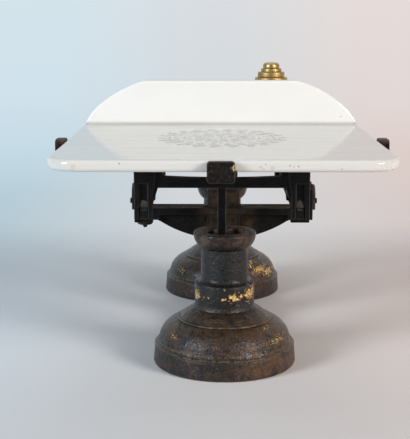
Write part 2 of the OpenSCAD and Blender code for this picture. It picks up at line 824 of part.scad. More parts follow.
module yoke(y, top) {
    colour_iron()
        difference() {
            union() {
                translate([0, y, 0])
                    rotate([90, 0, 0])
                        linear_extrude(yoke_bar_d, center = true)
                            yoke_bar_outline(top);
                for (s = [0, 1])
                    mirror([s, 0, 0])
                        translate([0, y, 0])
                            rotate([90, 0, 0])
                                linear_extrude(yoke_d, center = true)
                                    yoke_leg_outline(top);
            }
            // seats for the bearing steels, open downwards
            for (s = [-1, 1])
                along_x(s > 0 ? tine_in - 1 : -tine_out - 1, s > 0 ? tine_out + 1 : -tine_in + 1)
                    translate([y - 6, tine_low - 1])
                        square([12, pivot_z + 7 - tine_low + 1]);
            // bolt holes into the spider
            for (s = [-1, 1])
                translate([s * head_bolt_x, y, top - head_bolt_l])
                    cylinder(h = head_bolt_l + 1, r = bolt_r, $fn = 32);
            // grooves in the legs' faces, above the slots
            for (s = [-1, 1])
                for (face = [-1, 1])
                    translate([s * lever_x, y + face * yoke_d / 2, 0])
                        groove();
            // socket for the stay
            translate([-stay_w / 2, y - stay_d / 2, yoke_bar_z - 1])
                cube([stay_w, stay_d, stay_socket + 1]);
        }
}

module yoke_bolts(y, top) {
    // Countersunk screws from the spider's top down into the yoke; top is the yoke's.
    spider_top = top + spider_h;
    colour_steel()
        for (s = [-1, 1])
            translate([s * head_bolt_x, y, 0])
                difference() {
                    union() {
                        translate([0, 0, top - head_bolt_l])
                            cylinder(h = spider_top - 3 - top + head_bolt_l, r = bolt_r, $fn = 32);
                        translate([0, 0, spider_top - 3])
                            cylinder(h = 2.8, r1 = bolt_r, r2 = bolt_r + 2.8, $fn = 32);
                    }
                    translate([-7, -0.6, spider_top - 1.4])
                        cube([14, 1.2, 3]);
                }
}

module steels(side, y) {
    colour_steel()
        for (x0 = side > 0 ? [tine_in, tine_out - tine_t] : [-tine_out, -tine_in - tine_t])
            along_x(x0, x0 + tine_t)
                steel_outline(y);
}

module stay(y) {
    // Flat bar from the yoke down into the pedestal, with an eye at its foot.
    colour_iron()
        difference() {
            union() {
                translate([-stay_w / 2, y - stay_d / 2, link_z])
                    cube([stay_w, stay_d, yoke_bar_z + stay_socket - link_z]);
                rod_x(-stay_w / 2, stay_w / 2, y, link_z, link_eye_r);
            }
            rod_x(-stay_w, stay_w, y, link_z, stay_pin_r);
        }
}

module stay_pin(y) {
    colour_steel()
        rod_x(-strip_out - stay_pin_over + beam_slip, strip_out + stay_pin_over + beam_slip, y, link_z, stay_pin_r);
}

// Check link

module check_link() {
    colour_iron()
        difference() {
            union() {
                for (s = [-1, 1])
                    along_x(s > 0 ? strip_in : -strip_out, s > 0 ? strip_out : -strip_in)
                        union() {
                            translate([-arm, link_z - strip_h / 2])
                                square([2 * arm, strip_h]);
                            for (y = [-arm, 0, arm])
                                translate([y, link_z])
                                    circle(r = link_eye_r, $fn = 40);
                        }
                rod_x(-strip_in - eps, strip_in + eps, 0, link_z, link_eye_r);
                for (y = [-1, 1])
                    rod_x(-strip_in - eps, strip_in + eps, y * arm * 0.55, link_z, 3);
            }
            rod_x(-20, 20, 0, link_z, pin_r + run_gap);
            for (y = [-arm, arm])
                rod_x(-20, 20, y, link_z, stay_pin_r + run_gap);
        }
}

// Goods plate

module backboard_outline(inset) {
    // Flat-topped board whose shoulders fall away in a long curve.
    fall = plate_w / 2 - back_flat;
    n = 16;
    offset(delta = -inset)
        polygon(concat([[-plate_w / 2, -6], [plate_w / 2, -6]],
            [for (i = [0 : n]) let (t = 90 * i / n)
                [back_flat + fall * pow(cos(t), 1.38), back_h * pow(sin(t), 1.38)]],
            [for (i = [n : -1 : 0]) let (t = 90 * i / n)
                [-back_flat - fall * pow(cos(t), 1.38), back_h * pow(sin(t), 1.38)]]));
}

module plate_puck(r) {
    // Disc of the plate's thickness with a rounded upper edge.
    edge = 4;
    low_edge = 3.4;
    rotate_extrude($fn = 48)
        polygon(concat([[0, 0]], arc3([r - low_edge, 0], [r - low_edge * 0.293, low_edge * 0.293], [r, low_edge], 4),
            arc3([r, plate_t - edge], [r - edge * 0.293, plate_t - edge * 0.293], [r - edge, plate_t], 5),
            [[0, plate_t]]));
}

module goods_plate() {
    front_of_board = plate_back - back_t;
    color([0.93, 0.93, 0.9]) {
        // slab, with wide front corners and tight back ones
        hull()
            for (x = [-1, 1]) {
                translate([x * (plate_w / 2 - plate_corner), plate_front + plate_corner, plate_z - plate_t])
                    plate_puck(plate_corner);
                translate([x * (plate_w / 2 - back_corner), plate_back - back_corner, plate_z - plate_t])
                    plate_puck(back_corner);
            }
        // backboard with eased edges
        hull()
            for (layer = [[0.4, 1.8], [2.4, 0.2], [back_t - 2.4, 0.2], [back_t - 0.4, 1.8]])
                translate([0, front_of_board + layer[0], plate_z])
                    rotate([90, 0, 0])
                        linear_extrude(0.2, center = true)
                            backboard_outline(layer[1]);
        // small hollow where the board meets the plate
        along_x(-plate_w / 2 + 14, plate_w / 2 - 14)
            polygon(concat([[front_of_board + 2, plate_z - 1], [front_of_board - nook_r, plate_z - 1]],
                arc3([front_of_board - nook_r, plate_z - 0.02], [front_of_board - nook_r * 0.28, plate_z + nook_r * 0.28],
                    [front_of_board + 0.4, plate_z + nook_r + 0.2], 6),
                [[front_of_board + 2, plate_z + nook_r + 0.2]]));
    }
}

// Weights pan and weights

module weights_pan() {
    floor_z = pan_floor_z;
    color([0.16, 0.14, 0.13])
        translate([0, arm, floor_z])
            rotate_extrude($fn = 120)
                polygon(concat(
                    [[0, -pan_t], [pan_r - 5, -pan_t]],
                    arc3([pan_r - 3.6, -pan_t + 0.4], [pan_r - 1, -pan_t + 2], [pan_r, -pan_t + 5], 6),
                    [[pan_r, pan_depth - 2.2]],
                    arc3([pan_r + 0.1, pan_depth - 2], [pan_r - 1.4, pan_depth], [pan_r - 2.9, pan_depth - 2], 8),
                    [[pan_r - 2.6, 3]],
                    arc3([pan_r - 2.7, 2.6], [pan_r - 3.4, 0.9], [pan_r - 5, 0], 6),
                    [[0, 0]]));
}

module flat_weight(i) {
    // Flat turned disc with eased rims and a shallow turned ring.
    r = weight_d[i] / 2;
    h = weight_h[i];
    e = min(1, h * 0.16);
    colour_brass()
        translate([stack_x, arm, weight_z(i)])
            rotate_extrude($fn = 72)
                polygon([[0, 0], [r - e, 0], [r, e], [r, h - e], [r - e, h], [r - e - 0.8, h], [r - e - 1.4, h - 0.4],
                    [r - e - 2, h], [0, h]]);
}

module weight_top() {
    // Smallest weight: a little faceted-looking button with a waist.
    r = weight_d[6] / 2;
    h = weight_h[6];
    colour_brass()
        translate([stack_x, arm, weight_z(6)])
            rotate_extrude($fn = 48)
                polygon([[0, 0], [r - 0.8, 0], [r, 0.8], [r, h - 2.4], [r - 2.4, h - 0.5], [r - 3.4, h], [0, h]]);
}

module slipped() {
    // Everything that hangs on the beam sits a little to the left of the stand.
    translate([-beam_slip, 0, 0])
        children();
}

pedestal(-1);  // near_pedestal
pedestal(1);  // far_pedestal
tunnel();
tunnel_screws(-1);  // near_screws
tunnel_screws(1);  // far_screws
centre_foot();
foot_rivets();
link_pin();
stand();
stand_screws();
fulcrum_bearing(-1);  // bearing_left
fulcrum_bearing(1);  // bearing_right
cover(-1);  // cover_left
cover(1);  // cover_right
cover_screws(-1);  // cover_screws_left
cover_screws(1);  // cover_screws_right
slipped() beam();
slipped() fulcrum_knife(-1);  // fulcrum_knife_left
slipped() fulcrum_knife(1);  // fulcrum_knife_right
slipped() end_knife(-1, -arm);  // goods_knife_left
slipped() end_knife(1, -arm);  // goods_knife_right
slipped() end_knife(-1, arm);  // weights_knife_left
slipped() end_knife(1, arm);  // weights_knife_right
slipped() balance_box();
slipped() balance_plug();
slipped() goods_spider();
slipped() yoke(-arm, spider_top_goods - spider_h);  // goods_yoke
slipped() yoke_bolts(-arm, spider_top_goods - spider_h);  // goods_yoke_bolts
slipped() steels(-1, -arm);  // goods_steels_left
slipped() steels(1, -arm);  // goods_steels_right
slipped() stay(-arm);  // goods_stay
slipped() stay_pin(-arm);  // goods_stay_pin
slipped() weights_spider();
slipped() yoke(arm, spider_top_pan - spider_h);  // weights_yoke
slipped() yoke_bolts(arm, spider_top_pan - spider_h);  // weights_yoke_bolts
slipped() steels(-1, arm);  // weights_steels_left
slipped() steels(1, arm);  // weights_steels_right
slipped() stay(arm);  // weights_stay
slipped() stay_pin(arm);  // weights_stay_pin
check_link();
slipped() goods_plate();
slipped() weights_pan();
slipped() flat_weight(0);  // weight_2lb
slipped() flat_weight(1);  // weight_1lb
slipped() flat_weight(2);  // weight_8oz
slipped() flat_weight(3);  // weight_4oz
slipped() flat_weight(4);  // weight_2oz
slipped() flat_weight(5);  // weight_1oz
slipped() weight_top();  // weight_half_oz
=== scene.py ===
"""Counter scale on its bell-shaped cast feet: the pieces, finishes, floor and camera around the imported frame."""

import math

import bmesh
import bpy
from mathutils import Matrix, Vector


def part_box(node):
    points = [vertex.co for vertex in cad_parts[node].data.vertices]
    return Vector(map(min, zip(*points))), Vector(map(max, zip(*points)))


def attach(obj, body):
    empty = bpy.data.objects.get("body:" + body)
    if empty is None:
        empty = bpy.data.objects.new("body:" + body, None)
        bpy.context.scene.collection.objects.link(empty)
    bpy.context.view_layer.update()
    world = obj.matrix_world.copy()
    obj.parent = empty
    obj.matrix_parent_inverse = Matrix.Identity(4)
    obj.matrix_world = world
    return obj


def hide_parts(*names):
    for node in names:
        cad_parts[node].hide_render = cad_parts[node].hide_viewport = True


bl_info = {
    "name": "Counter scale", "version": (1, 0, 0), "blender": (4, 5, 0), "category": "Add Mesh",
    "location": "3D View > Sidebar > Scale",
    "description": "Models and finishes a cast iron counter scale with a glazed plate",
}

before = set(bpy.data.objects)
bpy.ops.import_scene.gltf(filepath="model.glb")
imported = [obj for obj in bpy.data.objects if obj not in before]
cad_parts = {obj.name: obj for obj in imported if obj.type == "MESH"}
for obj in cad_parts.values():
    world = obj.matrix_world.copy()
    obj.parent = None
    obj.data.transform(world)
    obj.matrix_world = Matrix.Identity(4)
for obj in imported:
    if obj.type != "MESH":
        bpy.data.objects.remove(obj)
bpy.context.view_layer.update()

MM = 0.001
SHOULDER_HEIGHT = 46 * MM
SMOOTH = {"interpolation_type": "SMOOTHSTEP"}


def middle(name):
    """Centre of a CAD node's box."""
    low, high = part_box(name)
    return (low + high) / 2


def span(name):
    """Size of a CAD node's box."""
    low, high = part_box(name)
    return high - low


PLATE_LOW, PLATE_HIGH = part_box("goods_plate")
PAN_LOW, PAN_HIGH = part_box("weights_pan")
PLATE_THICKNESS, BOARD_THICKNESS = 9.2 * MM, 9 * MM
PLATE_TOP, BOARD_FRONT = PLATE_LOW.z + PLATE_THICKNESS, PLATE_HIGH.y - BOARD_THICKNESS


def length(name, description, default, low, high=1.0):
    """A length that a user can change, in metres."""
    return bpy.props.FloatProperty(name=name, description=description, default=default, min=low, max=high,
                                   unit="LENGTH", subtype="DISTANCE")


class ScaleSizes(bpy.types.PropertyGroup):
    """Sizes of the pieces that are modelled here."""

    foot_radius: length("Foot radius", "Radius of a pedestal at the counter", span("near_pedestal").x / 2, 0.02)
    band_radius: length("Band radius", "Radius of the moulded band above the dome", 30 * MM, 0.01)
    column_radius: length("Column radius", "Radius of the column just above the band", 23 * MM, 0.01)
    collar_radius: length("Collar radius", "Radius of the collar's rim", 31.4 * MM, 0.01)
    collar_height: length("Collar height", "Height of the collar's rim above the counter",
                          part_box("near_pedestal")[1].z, 0.05)
    mouth_radius: length("Mouth radius", "Radius of the opening through the collar", 17.5 * MM, 0.005)
    tunnel_width: length("Tunnel width", "Width of the way through the bell's wall", span("tunnel").x, 0.01)
    tunnel_height: length("Tunnel height", "Height of the way through the bell's wall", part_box("tunnel")[1].z, 0.01)
    plate_thickness: length("Plate thickness", "Thickness of the glazed plate", PLATE_THICKNESS, 0.004)
    rim_drop: length("Rim drop", "How far the plate's rolled rim hangs below its seat", 1.3 * MM, 0, 0.002)
    plate_corner: length("Plate corner", "Radius of the plate's front corners in plan", 30 * MM, 0.005)
    back_height: length("Backboard height", "Height of the backboard above the plate",
                        PLATE_HIGH.z - PLATE_LOW.z - PLATE_THICKNESS, 0.01)
    back_flat: length("Backboard flat", "Half length of the backboard's straight top", 80 * MM, 0.02)
    back_thickness: length("Backboard thickness", "Thickness of the backboard", BOARD_THICKNESS, 0.003)
    pan_depth: length("Pan depth", "Depth of the weights pan inside", 10 * MM, 0.002)
    pan_sheet: length("Pan sheet", "Thickness of the weights pan's sheet", 3 * MM, 0.001)
    cast_roughness: length("Casting unevenness", "How far the sand casting's skin wanders", 0.35 * MM, 0, 0.001)


def hex_colour(name, description, default):
    """A colour that a user can change, as an sRGB hex value."""
    return bpy.props.StringProperty(name=name, description=description, default=default)


class ScaleFinish(bpy.types.PropertyGroup):
    """Colours of the finishes, as sRGB hex values."""

    paint: hex_colour("Black paint", "Old black japan over the castings", "#131414")
    shade: hex_colour("Black in the hollows", "Japan where nothing has rubbed it", "#070707")
    brown: hex_colour("Brown film", "Brown oxide and wax showing through the paint", "#2d2118")
    rust: hex_colour("Rust", "Orange-brown rust in the pits", "#6d482a")
    gold: hex_colour("Gold leaf", "Remains of the gilding", "#c98a2c")
    steel: hex_colour("Steel", "Dull hardened steel of knives and screws", "#2b2824")
    brass: hex_colour("Brass", "Aged turned brass", "#c8ac74")
    glaze: hex_colour("Glaze", "White glaze of the ironstone", "#f4f5f1")
    floor: hex_colour("Floor", "Pale studio floor", "#e9e8e7")


# Small helpers for modelling


def nothing_selected():
    """Leaves edit mode and deselects every object, the carried-over nodes included."""
    if bpy.context.object and bpy.context.object.mode != "OBJECT":
        bpy.ops.object.mode_set(mode="OBJECT")
    bpy.ops.object.select_all(action="DESELECT")


def only(obj):
    """Selects one object and makes it the active one."""
    nothing_selected()
    bpy.context.view_layer.objects.active = obj
    obj.select_set(True)


def started(name):
    """Names the primitive that was just added, takes its place into its mesh and opens it in edit mode."""
    obj = bpy.context.object
    obj.name = name
    obj.data.name = name
    bpy.ops.object.transform_apply(location=True, rotation=True, scale=True)
    bpy.ops.object.mode_set(mode="EDIT")
    return obj


def pick(obj, kind, test):
    """Selects only the vertices or edges that pass the test."""
    bpy.ops.mesh.select_mode(type=kind)
    bpy.ops.mesh.select_all(action="DESELECT")
    shape = bmesh.from_edit_mesh(obj.data)
    if kind == "VERT":
        for v in shape.verts:
            v.select = bool(test(v.co))
    else:
        for e in shape.edges:
            e.select = bool(test(e.verts[0].co, e.verts[1].co))
    shape.select_flush_mode()
    bmesh.update_edit_mesh(obj.data)


def rounded(obj, kind, test, offset, segments):
    """Bevels the vertices or edges that pass the test."""
    pick(obj, kind, test)
    affect = "VERTICES" if kind == "VERT" else "EDGES"
    bpy.ops.mesh.bevel(affect=affect, offset=offset, segments=segments, profile=0.5)


def extruded(*way):
    """Extrudes what is selected by that way."""
    bpy.ops.mesh.extrude_region_move(TRANSFORM_OT_translate={"value": way})


def arc(a, b, c, steps):
    """Points on the circle through three points, from the first to the last."""
    d = 2 * (a[0] * (b[1] - c[1]) + b[0] * (c[1] - a[1]) + c[0] * (a[1] - b[1]))
    aa, bb, cc = (p[0] ** 2 + p[1] ** 2 for p in (a, b, c))
    x = (aa * (b[1] - c[1]) + bb * (c[1] - a[1]) + cc * (a[1] - b[1])) / d
    y = (aa * (c[0] - b[0]) + bb * (a[0] - c[0]) + cc * (b[0] - a[0])) / d
    r = math.hypot(a[0] - x, a[1] - y)
    start = math.atan2(a[1] - y, a[0] - x)
    turn = (math.atan2(c[1] - y, c[0] - x) - start + 3 * math.pi) % (2 * math.pi) - math.pi
    return [(x + r * math.cos(start + turn * i / steps), y + r * math.sin(start + turn * i / steps))
            for i in range(steps + 1)]


def fine(points, longest):
    """The same outline with extra points where a side is longer than longest."""
    out = [points[0]]
    for p, q in zip(points, points[1:]):
        n = max(1, math.ceil(math.hypot(q[0] - p[0], q[1] - p[1]) / longest))
        out += [(p[0] + (q[0] - p[0]) * i / n, p[1] + (q[1] - p[1]) * i / n) for i in range(1, n + 1)]
    return out


def drawn(name, place, outline):
    """A line drawn point by point by extruding, left in edit mode; outline is x and height from the place."""
    nothing_selected()
    bpy.ops.mesh.primitive_plane_add(size=0.001, location=(0, 0, 0))
    obj = started(name)
    bpy.ops.mesh.merge(type="CENTER")
    pick(obj, "VERT", lambda co: True)
    bpy.ops.transform.translate(value=(place[0] + outline[0][0], place[1], place[2] + outline[0][1]))
    for p, q in zip(outline, outline[1:]):
        extruded(q[0] - p[0], 0, q[1] - p[1])
    bpy.ops.mesh.select_mode(type="VERT")
    bpy.ops.mesh.select_all(action="SELECT")
    return obj


def turned(name, centre, outline, steps, closed):
    """A piece turned on an upright axis: its outline is drawn and then spun.
    outline is radius and height from the centre; a closed one runs back to its first point."""
    obj = drawn(name, (0, 0, 0), outline)
    if closed:
        first, last = (Vector((r, 0, z)) for r, z in (outline[0], outline[-1]))
        pick(obj, "VERT", lambda co: (co - first).length < 1e-6 or (co - last).length < 1e-6)
        bpy.ops.mesh.edge_face_add()
        bpy.ops.mesh.select_all(action="SELECT")
    bpy.ops.mesh.spin(steps=steps, angle=2 * math.pi, center=(0, 0, 0), axis=(0, 0, 1))
    bpy.ops.mesh.select_all(action="SELECT")
    bpy.ops.mesh.remove_doubles(threshold=2e-6)
    bpy.ops.mesh.normals_make_consistent(inside=False)
    bpy.ops.transform.translate(value=centre)
    bpy.ops.object.mode_set(mode="OBJECT")
    return obj


def modified(obj, kind, apply=True, **settings):
    """Adds a modifier with its settings, and applies it unless it stays live."""
    m = obj.modifiers.new(kind.title(), kind)
    for key, value in settings.items():
        setattr(m, key, value)
    if apply:
        only(obj)
        bpy.ops.object.modifier_apply(modifier=m.name)


def cut(obj, low, high, operation="DIFFERENCE"):
    """Takes the box between two corners out of a piece, or joins it on."""
    nothing_selected()
    low, high = Vector(low), Vector(high)
    bpy.ops.mesh.primitive_cube_add(size=1, location=(low + high) / 2)
    block = bpy.context.object
    bpy.ops.transform.resize(value=high - low)
    modified(obj, "BOOLEAN", operation=operation, object=block, solver="EXACT")
    bpy.data.objects.remove(block)


def finished(obj, angle, *materials):
    """Takes the object's place into its mesh, smooths it up to an angle and gives it its materials."""
    only(obj)
    bpy.ops.object.transform_apply(location=True, rotation=True, scale=True)
    bpy.ops.object.shade_smooth_by_angle(angle=math.radians(angle))
    obj.data.materials.clear()
    for m in materials:
        obj.data.materials.append(m)


# Materials


def tone(text):
    """sRGB hex to linear colour."""
    parts = [int(text[i:i + 2], 16) / 255 for i in (1, 3, 5)]
    return tuple(c / 12.92 if c <= 0.04045 else ((c + 0.055) / 1.055) ** 2.4 for c in parts) + (1.0,)


def fed(tree, node, sockets):
    """Gives each of a node's inputs a value or another node's output."""
    for key, value in sockets.items():
        if isinstance(value, bpy.types.NodeSocket):
            tree.links.new(value, node.inputs[key])
        else:
            node.inputs[key].default_value = value


def add(tree, kind, links=None, stops=(), out=0, **settings):
    """Adds a node with its links and settings and gives one of its outputs, or the node where out is None.
    stops are the places and colours of a colour ramp."""
    n = tree.nodes.new("ShaderNode" + kind)
    for key, value in settings.items():
        setattr(n, key, value)
    for k, (place, colour) in enumerate(stops):
        ramp = n.color_ramp.elements
        stop = ramp[k] if k < len(ramp) else ramp.new(1)
        stop.position, stop.color = place, tone(colour)
    fed(tree, n, links or {})
    return n if out is None else n.outputs[out]


def per(mm):
    """Noise scale for features of that size in millimetres."""
    return 1000 / mm


def maths(tree, operation, *values):
    """The values taken together, one after another, by an operation of the Math node."""
    out = values[0]
    for v in values[1:]:
        out = add(tree, "Math", {0: out, 1: v}, operation=operation)
    return out


def product(tree, *values):
    """All the values multiplied together."""
    return maths(tree, "MULTIPLY", *values)


def largest(tree, *values):
    """The largest of the values."""
    return maths(tree, "MAXIMUM", *values)


def graded(tree, value, low, high, start=0.0, end=1.0, **settings):
    """A number that goes from start to end while a value goes from low to high."""
    return add(tree, "MapRange", {0: value, 1: low, 2: high, 3: start, 4: end}, **settings)


def between(tree, value, low, high, soft):
    """Mask that is 1 where a value lies between two limits, with soft ends."""
    rise = graded(tree, value, low - soft, low + soft, **SMOOTH)
    fall = graded(tree, value, high - soft, high + soft, 1.0, 0.0, **SMOOTH)
    return product(tree, rise, fall)


def radial(tree, x, y):
    """Distance of the point x, y from the origin."""
    flat = add(tree, "CombineXYZ", {0: x, 1: y})
    return add(tree, "VectorMath", {0: flat}, operation="LENGTH", out="Value")


def cloud(tree, where, mm, low, high, detail=4.0, rough=0.6, offset=0.0):
    """Soft patches of about that size in millimetres: 0 below low, 1 above high."""
    moved = add(tree, "Mapping", {0: where, 1: (offset, offset * 0.7, offset * 0.4)})
    noise = add(tree, "TexNoise", {"Vector": moved, "Scale": per(mm), "Detail": detail, "Roughness": rough})
    return graded(tree, noise, low, high, **SMOOTH)


def blended(tree, amount, first, second):
    """Two colours mixed; a colour is a hex value or another node's output."""
    first, second = (tone(c) if isinstance(c, str) else c for c in (first, second))
    return add(tree, "Mix", {0: amount, 6: first, 7: second}, data_type="RGBA", out=2)


def raised(tree, height, mm, under=None):
    """Bump of that depth in millimetres, over another one."""
    links = {"Height": height, "Strength": 1.0, "Distance": mm * MM}
    if under is not None:
        links["Normal"] = under
    return add(tree, "Bump", links)


def blots(tree, where, places, grain):
    """Ragged blots; each place is x, z, half width and half height in mm and how full it is."""
    across, _, up = add(tree, "SeparateXYZ", {0: where}, out=None).outputs
    ragged = add(tree, "TexNoise", {"Vector": where, "Scale": per(grain), "Detail": 5.0, "Roughness": 0.62})
    ragged = graded(tree, ragged, 0.32, 0.68, -0.9, 0.9)
    flat = add(tree, "CombineXYZ", {0: across, 1: up})
    found = []
    for x, z, wide, high, full in places:
        local = add(tree, "VectorMath", {0: flat, 1: (x * MM, z * MM, 0)}, operation="SUBTRACT")
        local = add(tree, "VectorMath", {0: local, 1: (1 / (wide * MM), 1 / (high * MM), 0)}, operation="MULTIPLY")
        away = add(tree, "VectorMath", {0: local}, operation="LENGTH", out="Value")
        level = maths(tree, "SUBTRACT", ragged, away)
        found.append(graded(tree, level, -full, 0.16 - full, **SMOOTH))
    return largest(tree, *found)


# Height and half width in mm of the lighter lines along the edges of a foot's mouldings: rubbed wear with painted
# highlight
RUBBED_AND_HIGHLIT_LINES = ((20.6, 0.8), (24.0, 0.8), (47.2, 0.7), (60.5, 1.0), (83.4, 0.8), (117, 0.9))


def japanned_iron(tree, where, shader, finish, foot, gilding, specks=(), axis=0.0, browned=0.85):
    """Sand-cast grey iron, black japan rubbed through to brown oxide: dark, greasy semi-gloss broken
    by pits, orange rust in the low places. The feet are browner, and keep some leaf gold in front of
    their axis."""
    x, y, z = add(tree, "SeparateXYZ", {0: where}, out=None).outputs
    worn = cloud(tree, where, 26, 0.44, 0.62, 7, 0.68)
    film = cloud(tree, where, 5, 0.44, 0.60, 6, 0.7, 0.31)
    colour = blended(tree, worn, finish.paint if foot else "#050505", finish.brown if foot else "#14100c")
    colour = blended(tree, product(tree, film, 0.75), colour, finish.shade if foot else "#050505")
    # grey-brown bloom where the paint has chalked and dust has settled
    bloom = cloud(tree, where, 9, 0.54, 0.72, 8, 0.74, 0.77)
    colour = blended(tree, product(tree, bloom, 0.45 if foot else 0.35), colour, "#4b3d30" if foot else "#2c2620")
    # casting pits of about 2.5 mm with rust in them
    pits = cloud(tree, where, 2.6, 0.50, 0.62, 3, 0.55, 0.13)
    fine_pits = cloud(tree, where, 1.3, 0.50, 0.62, 2, 0.5, 0.57)
    damp = cloud(tree, where, 24, 0.48 if foot else 0.60, 0.66 if foot else 0.78, 8, 0.68, 1.7)
    rust = largest(tree, product(tree, pits, damp, 0.7), product(tree, fine_pits, damp, 0.45))
    if foot:
        # brown over skirt and dome on the right-hand side: partly rust, partly painted warm light from the right
        side = graded(tree, x, -36 * MM, 52 * MM, **SMOOTH)
        low = graded(tree, z, 62 * MM, 26 * MM)
        cover = cloud(tree, where, 8, 0.38, 0.60, 8, 0.72, 2.1)
        colour = blended(tree, product(tree, side, low, cover, browned), colour, "#5c3e24")
        # dull tan on the round shoulder
        shoulder = between(tree, z, 38 * MM, 60 * MM, 6 * MM)
        colour = blended(tree, product(tree, shoulder, cloud(tree, where, 7, 0.40, 0.62, 8, 0.74, 4.0), 0.45),
                         colour, "#5c452c")
        # lighter lines on the moulding edges: rubbed wear with painted highlight
        for height, half in RUBBED_AND_HIGHLIT_LINES:
            line = between(tree, z, (height - half) * MM, (height + half) * MM, half * 0.6 * MM)
            rubbed = product(tree, line, cloud(tree, where, 5, 0.42, 0.60, 6, 0.7, height), 0.5)
            colour = blended(tree, rubbed, colour, "#77664f")
    else:
        # brown dust and oxide on what faces up and over the middle of the stand, with painted light on those upper
        # faces
        up = add(tree, "SeparateXYZ", {0: add(tree, "TexCoord", out="Normal")}, out="Z")
        up = graded(tree, up, 0.35, 0.8)
        inner = product(tree, between(tree, x, -26 * MM, 34 * MM, 9 * MM),
                        between(tree, y, -60 * MM, 60 * MM, 9 * MM))
        dust_and_top_light = largest(tree, up, product(tree, inner, 0.7))
        colour = blended(tree, product(tree, dust_and_top_light, cloud(tree, where, 14, 0.30, 0.58, 7, 0.7, 5.1), 0.85),
                         colour, "#5a4834")
        # rust-brown grains over the lugs
        lugs = between(tree, z, 209 * MM, 240 * MM, 2 * MM)
        colour = blended(tree, product(tree, lugs, cloud(tree, where, 3, 0.50, 0.66, 5, 0.7, 6.3), 0.7),
                         colour, "#4d3426")
    colour = blended(tree, rust, colour, finish.rust)
    if foot:
        # near black from the band up, broken by patches
        dark_from_band_up = graded(tree, z, 52 * MM, 62 * MM)
        bare = cloud(tree, where, 12, 0.58, 0.74, 7, 0.7, 7.7)
        dark_from_band_up = product(tree, dark_from_band_up, graded(tree, bare, 0, 1, 0.88, 0.35))
        colour = blended(tree, dark_from_band_up, colour, finish.shade)
        # the collar is worn back to brown
        collar = graded(tree, z, 120 * MM, 127 * MM)
        colour = blended(tree, product(tree, collar, cloud(tree, where, 9, 0.40, 0.62, 7, 0.7, 8.9), 0.85),
                         colour, "#5a422c")
    rough = cloud(tree, where, 5, 0.35, 0.65, 8, 0.74, 0.9)
    rough = graded(tree, rough, 0, 1, 0.24 if foot else 0.38, 0.50 if foot else 0.62)
    rough = add(tree, "Mix", {0: rust, 2: rough, 3: 0.75})
    skin = raised(tree, cloud(tree, where, 7.5, 0.25, 0.75, 3, 0.5, 0.21), 0.40)
    skin = raised(tree, cloud(tree, where, 2.4, 0.3, 0.7, 3, 0.6, 0.4), 0.20, skin)
    skin = raised(tree, product(tree, pits, -1.0), 0.16, skin)
    gold = blots(tree, where, gilding, 3.0)
    if foot:
        gold = largest(tree, gold, blots(tree, where, specks, 1.7))
        # stray flecks round the band
        band = between(tree, z, 62 * MM, 82 * MM, 1 * MM)
        gold = largest(tree, gold, product(tree, band, cloud(tree, where, 3.4, 0.67, 0.69, 4, 0.6, 2.3)))
        front = graded(tree, y, axis - 9 * MM, axis - 1 * MM, 1.0, 0.0)
        gold = product(tree, gold, front)
    # pale patches in the leaf are painted highlights
    leaf = blended(tree, cloud(tree, where, 2.0, 0.46, 0.58, 4, 0.6, 3.1), finish.gold, "#ffecac")
    rim = graded(tree, gold, 0.0, 0.5)
    colour = blended(tree, rim, colour, "#5e3a1c")
    colour = blended(tree, graded(tree, gold, 0.45, 0.9), colour, leaf)
    rough = add(tree, "Mix", {0: gold, 2: rough, 3: 0.4})
    skin = raised(tree, gold, 0.12, skin)
    fed(tree, shader, {
        "Base Color": colour, "Roughness": rough, "Normal": skin, "Metallic": product(tree, gold, 0.6), "IOR": 1.5,
        "Specular IOR Level": 0.42 if foot else 0.2, "Coat Weight": 0.15 if foot else 0.0, "Coat Roughness": 0.28,
        "Coat Normal": skin})


def worn_and_highlit_edge(tree, where, shader, dark, light):
    """Edges of the castings where the paint has rubbed thin: a fine, slightly lighter line that is also a painted
    highlight along the edge.
    """
    rub = cloud(tree, where, 8, 0.42, 0.66, 6, 0.7, 0.5)
    colour = blended(tree, rub, dark, light)
    colour = blended(tree, cloud(tree, where, 2.4, 0.58, 0.72, 4, 0.6), colour, "#302923")
    skin = raised(tree, cloud(tree, where, 2, 0.3, 0.7, 3), 0.15)
    fed(tree, shader, {"Base Color": colour, "Roughness": 0.5, "Normal": skin})


def rusted_iron(tree, where, shader):
    """Bare iron covers rusted brown all over: matt, granular, with darker scabs."""
    colour = blended(tree, cloud(tree, where, 9, 0.36, 0.64, 7, 0.7), "#3c3028", "#66503f")
    colour = blended(tree, cloud(tree, where, 3, 0.52, 0.66, 5, 0.65, 0.6), colour, "#241c17")
    colour = blended(tree, cloud(tree, where, 1.5, 0.6, 0.7, 3, 0.6, 1.6), colour, "#7c5d44")
    skin = raised(tree, cloud(tree, where, 2.2, 0.3, 0.7, 5, 0.65), 0.3)
    skin = raised(tree, cloud(tree, where, 0.9, 0.3, 0.7, 2), 0.12, skin)
    fed(tree, shader, {"Base Color": colour, "Roughness": 0.78, "Normal": skin})


def dull_steel(tree, where, shader, finish):
    """Hardened steel of knives, pins and screws, stained with age: grey metal with brown bloom."""
    stain = cloud(tree, where, 5, 0.40, 0.68, 6, 0.68)
    colour = blended(tree, stain, finish.steel, "#231c16")
    rough = graded(tree, stain, 0, 1, 0.32, 0.66)
    skin = raised(tree, cloud(tree, where, 1.2, 0.3, 0.7, 3), 0.06)
    fed(tree, shader, {"Base Color": colour, "Roughness": rough, "Normal": skin, "Metallic": 1.0})


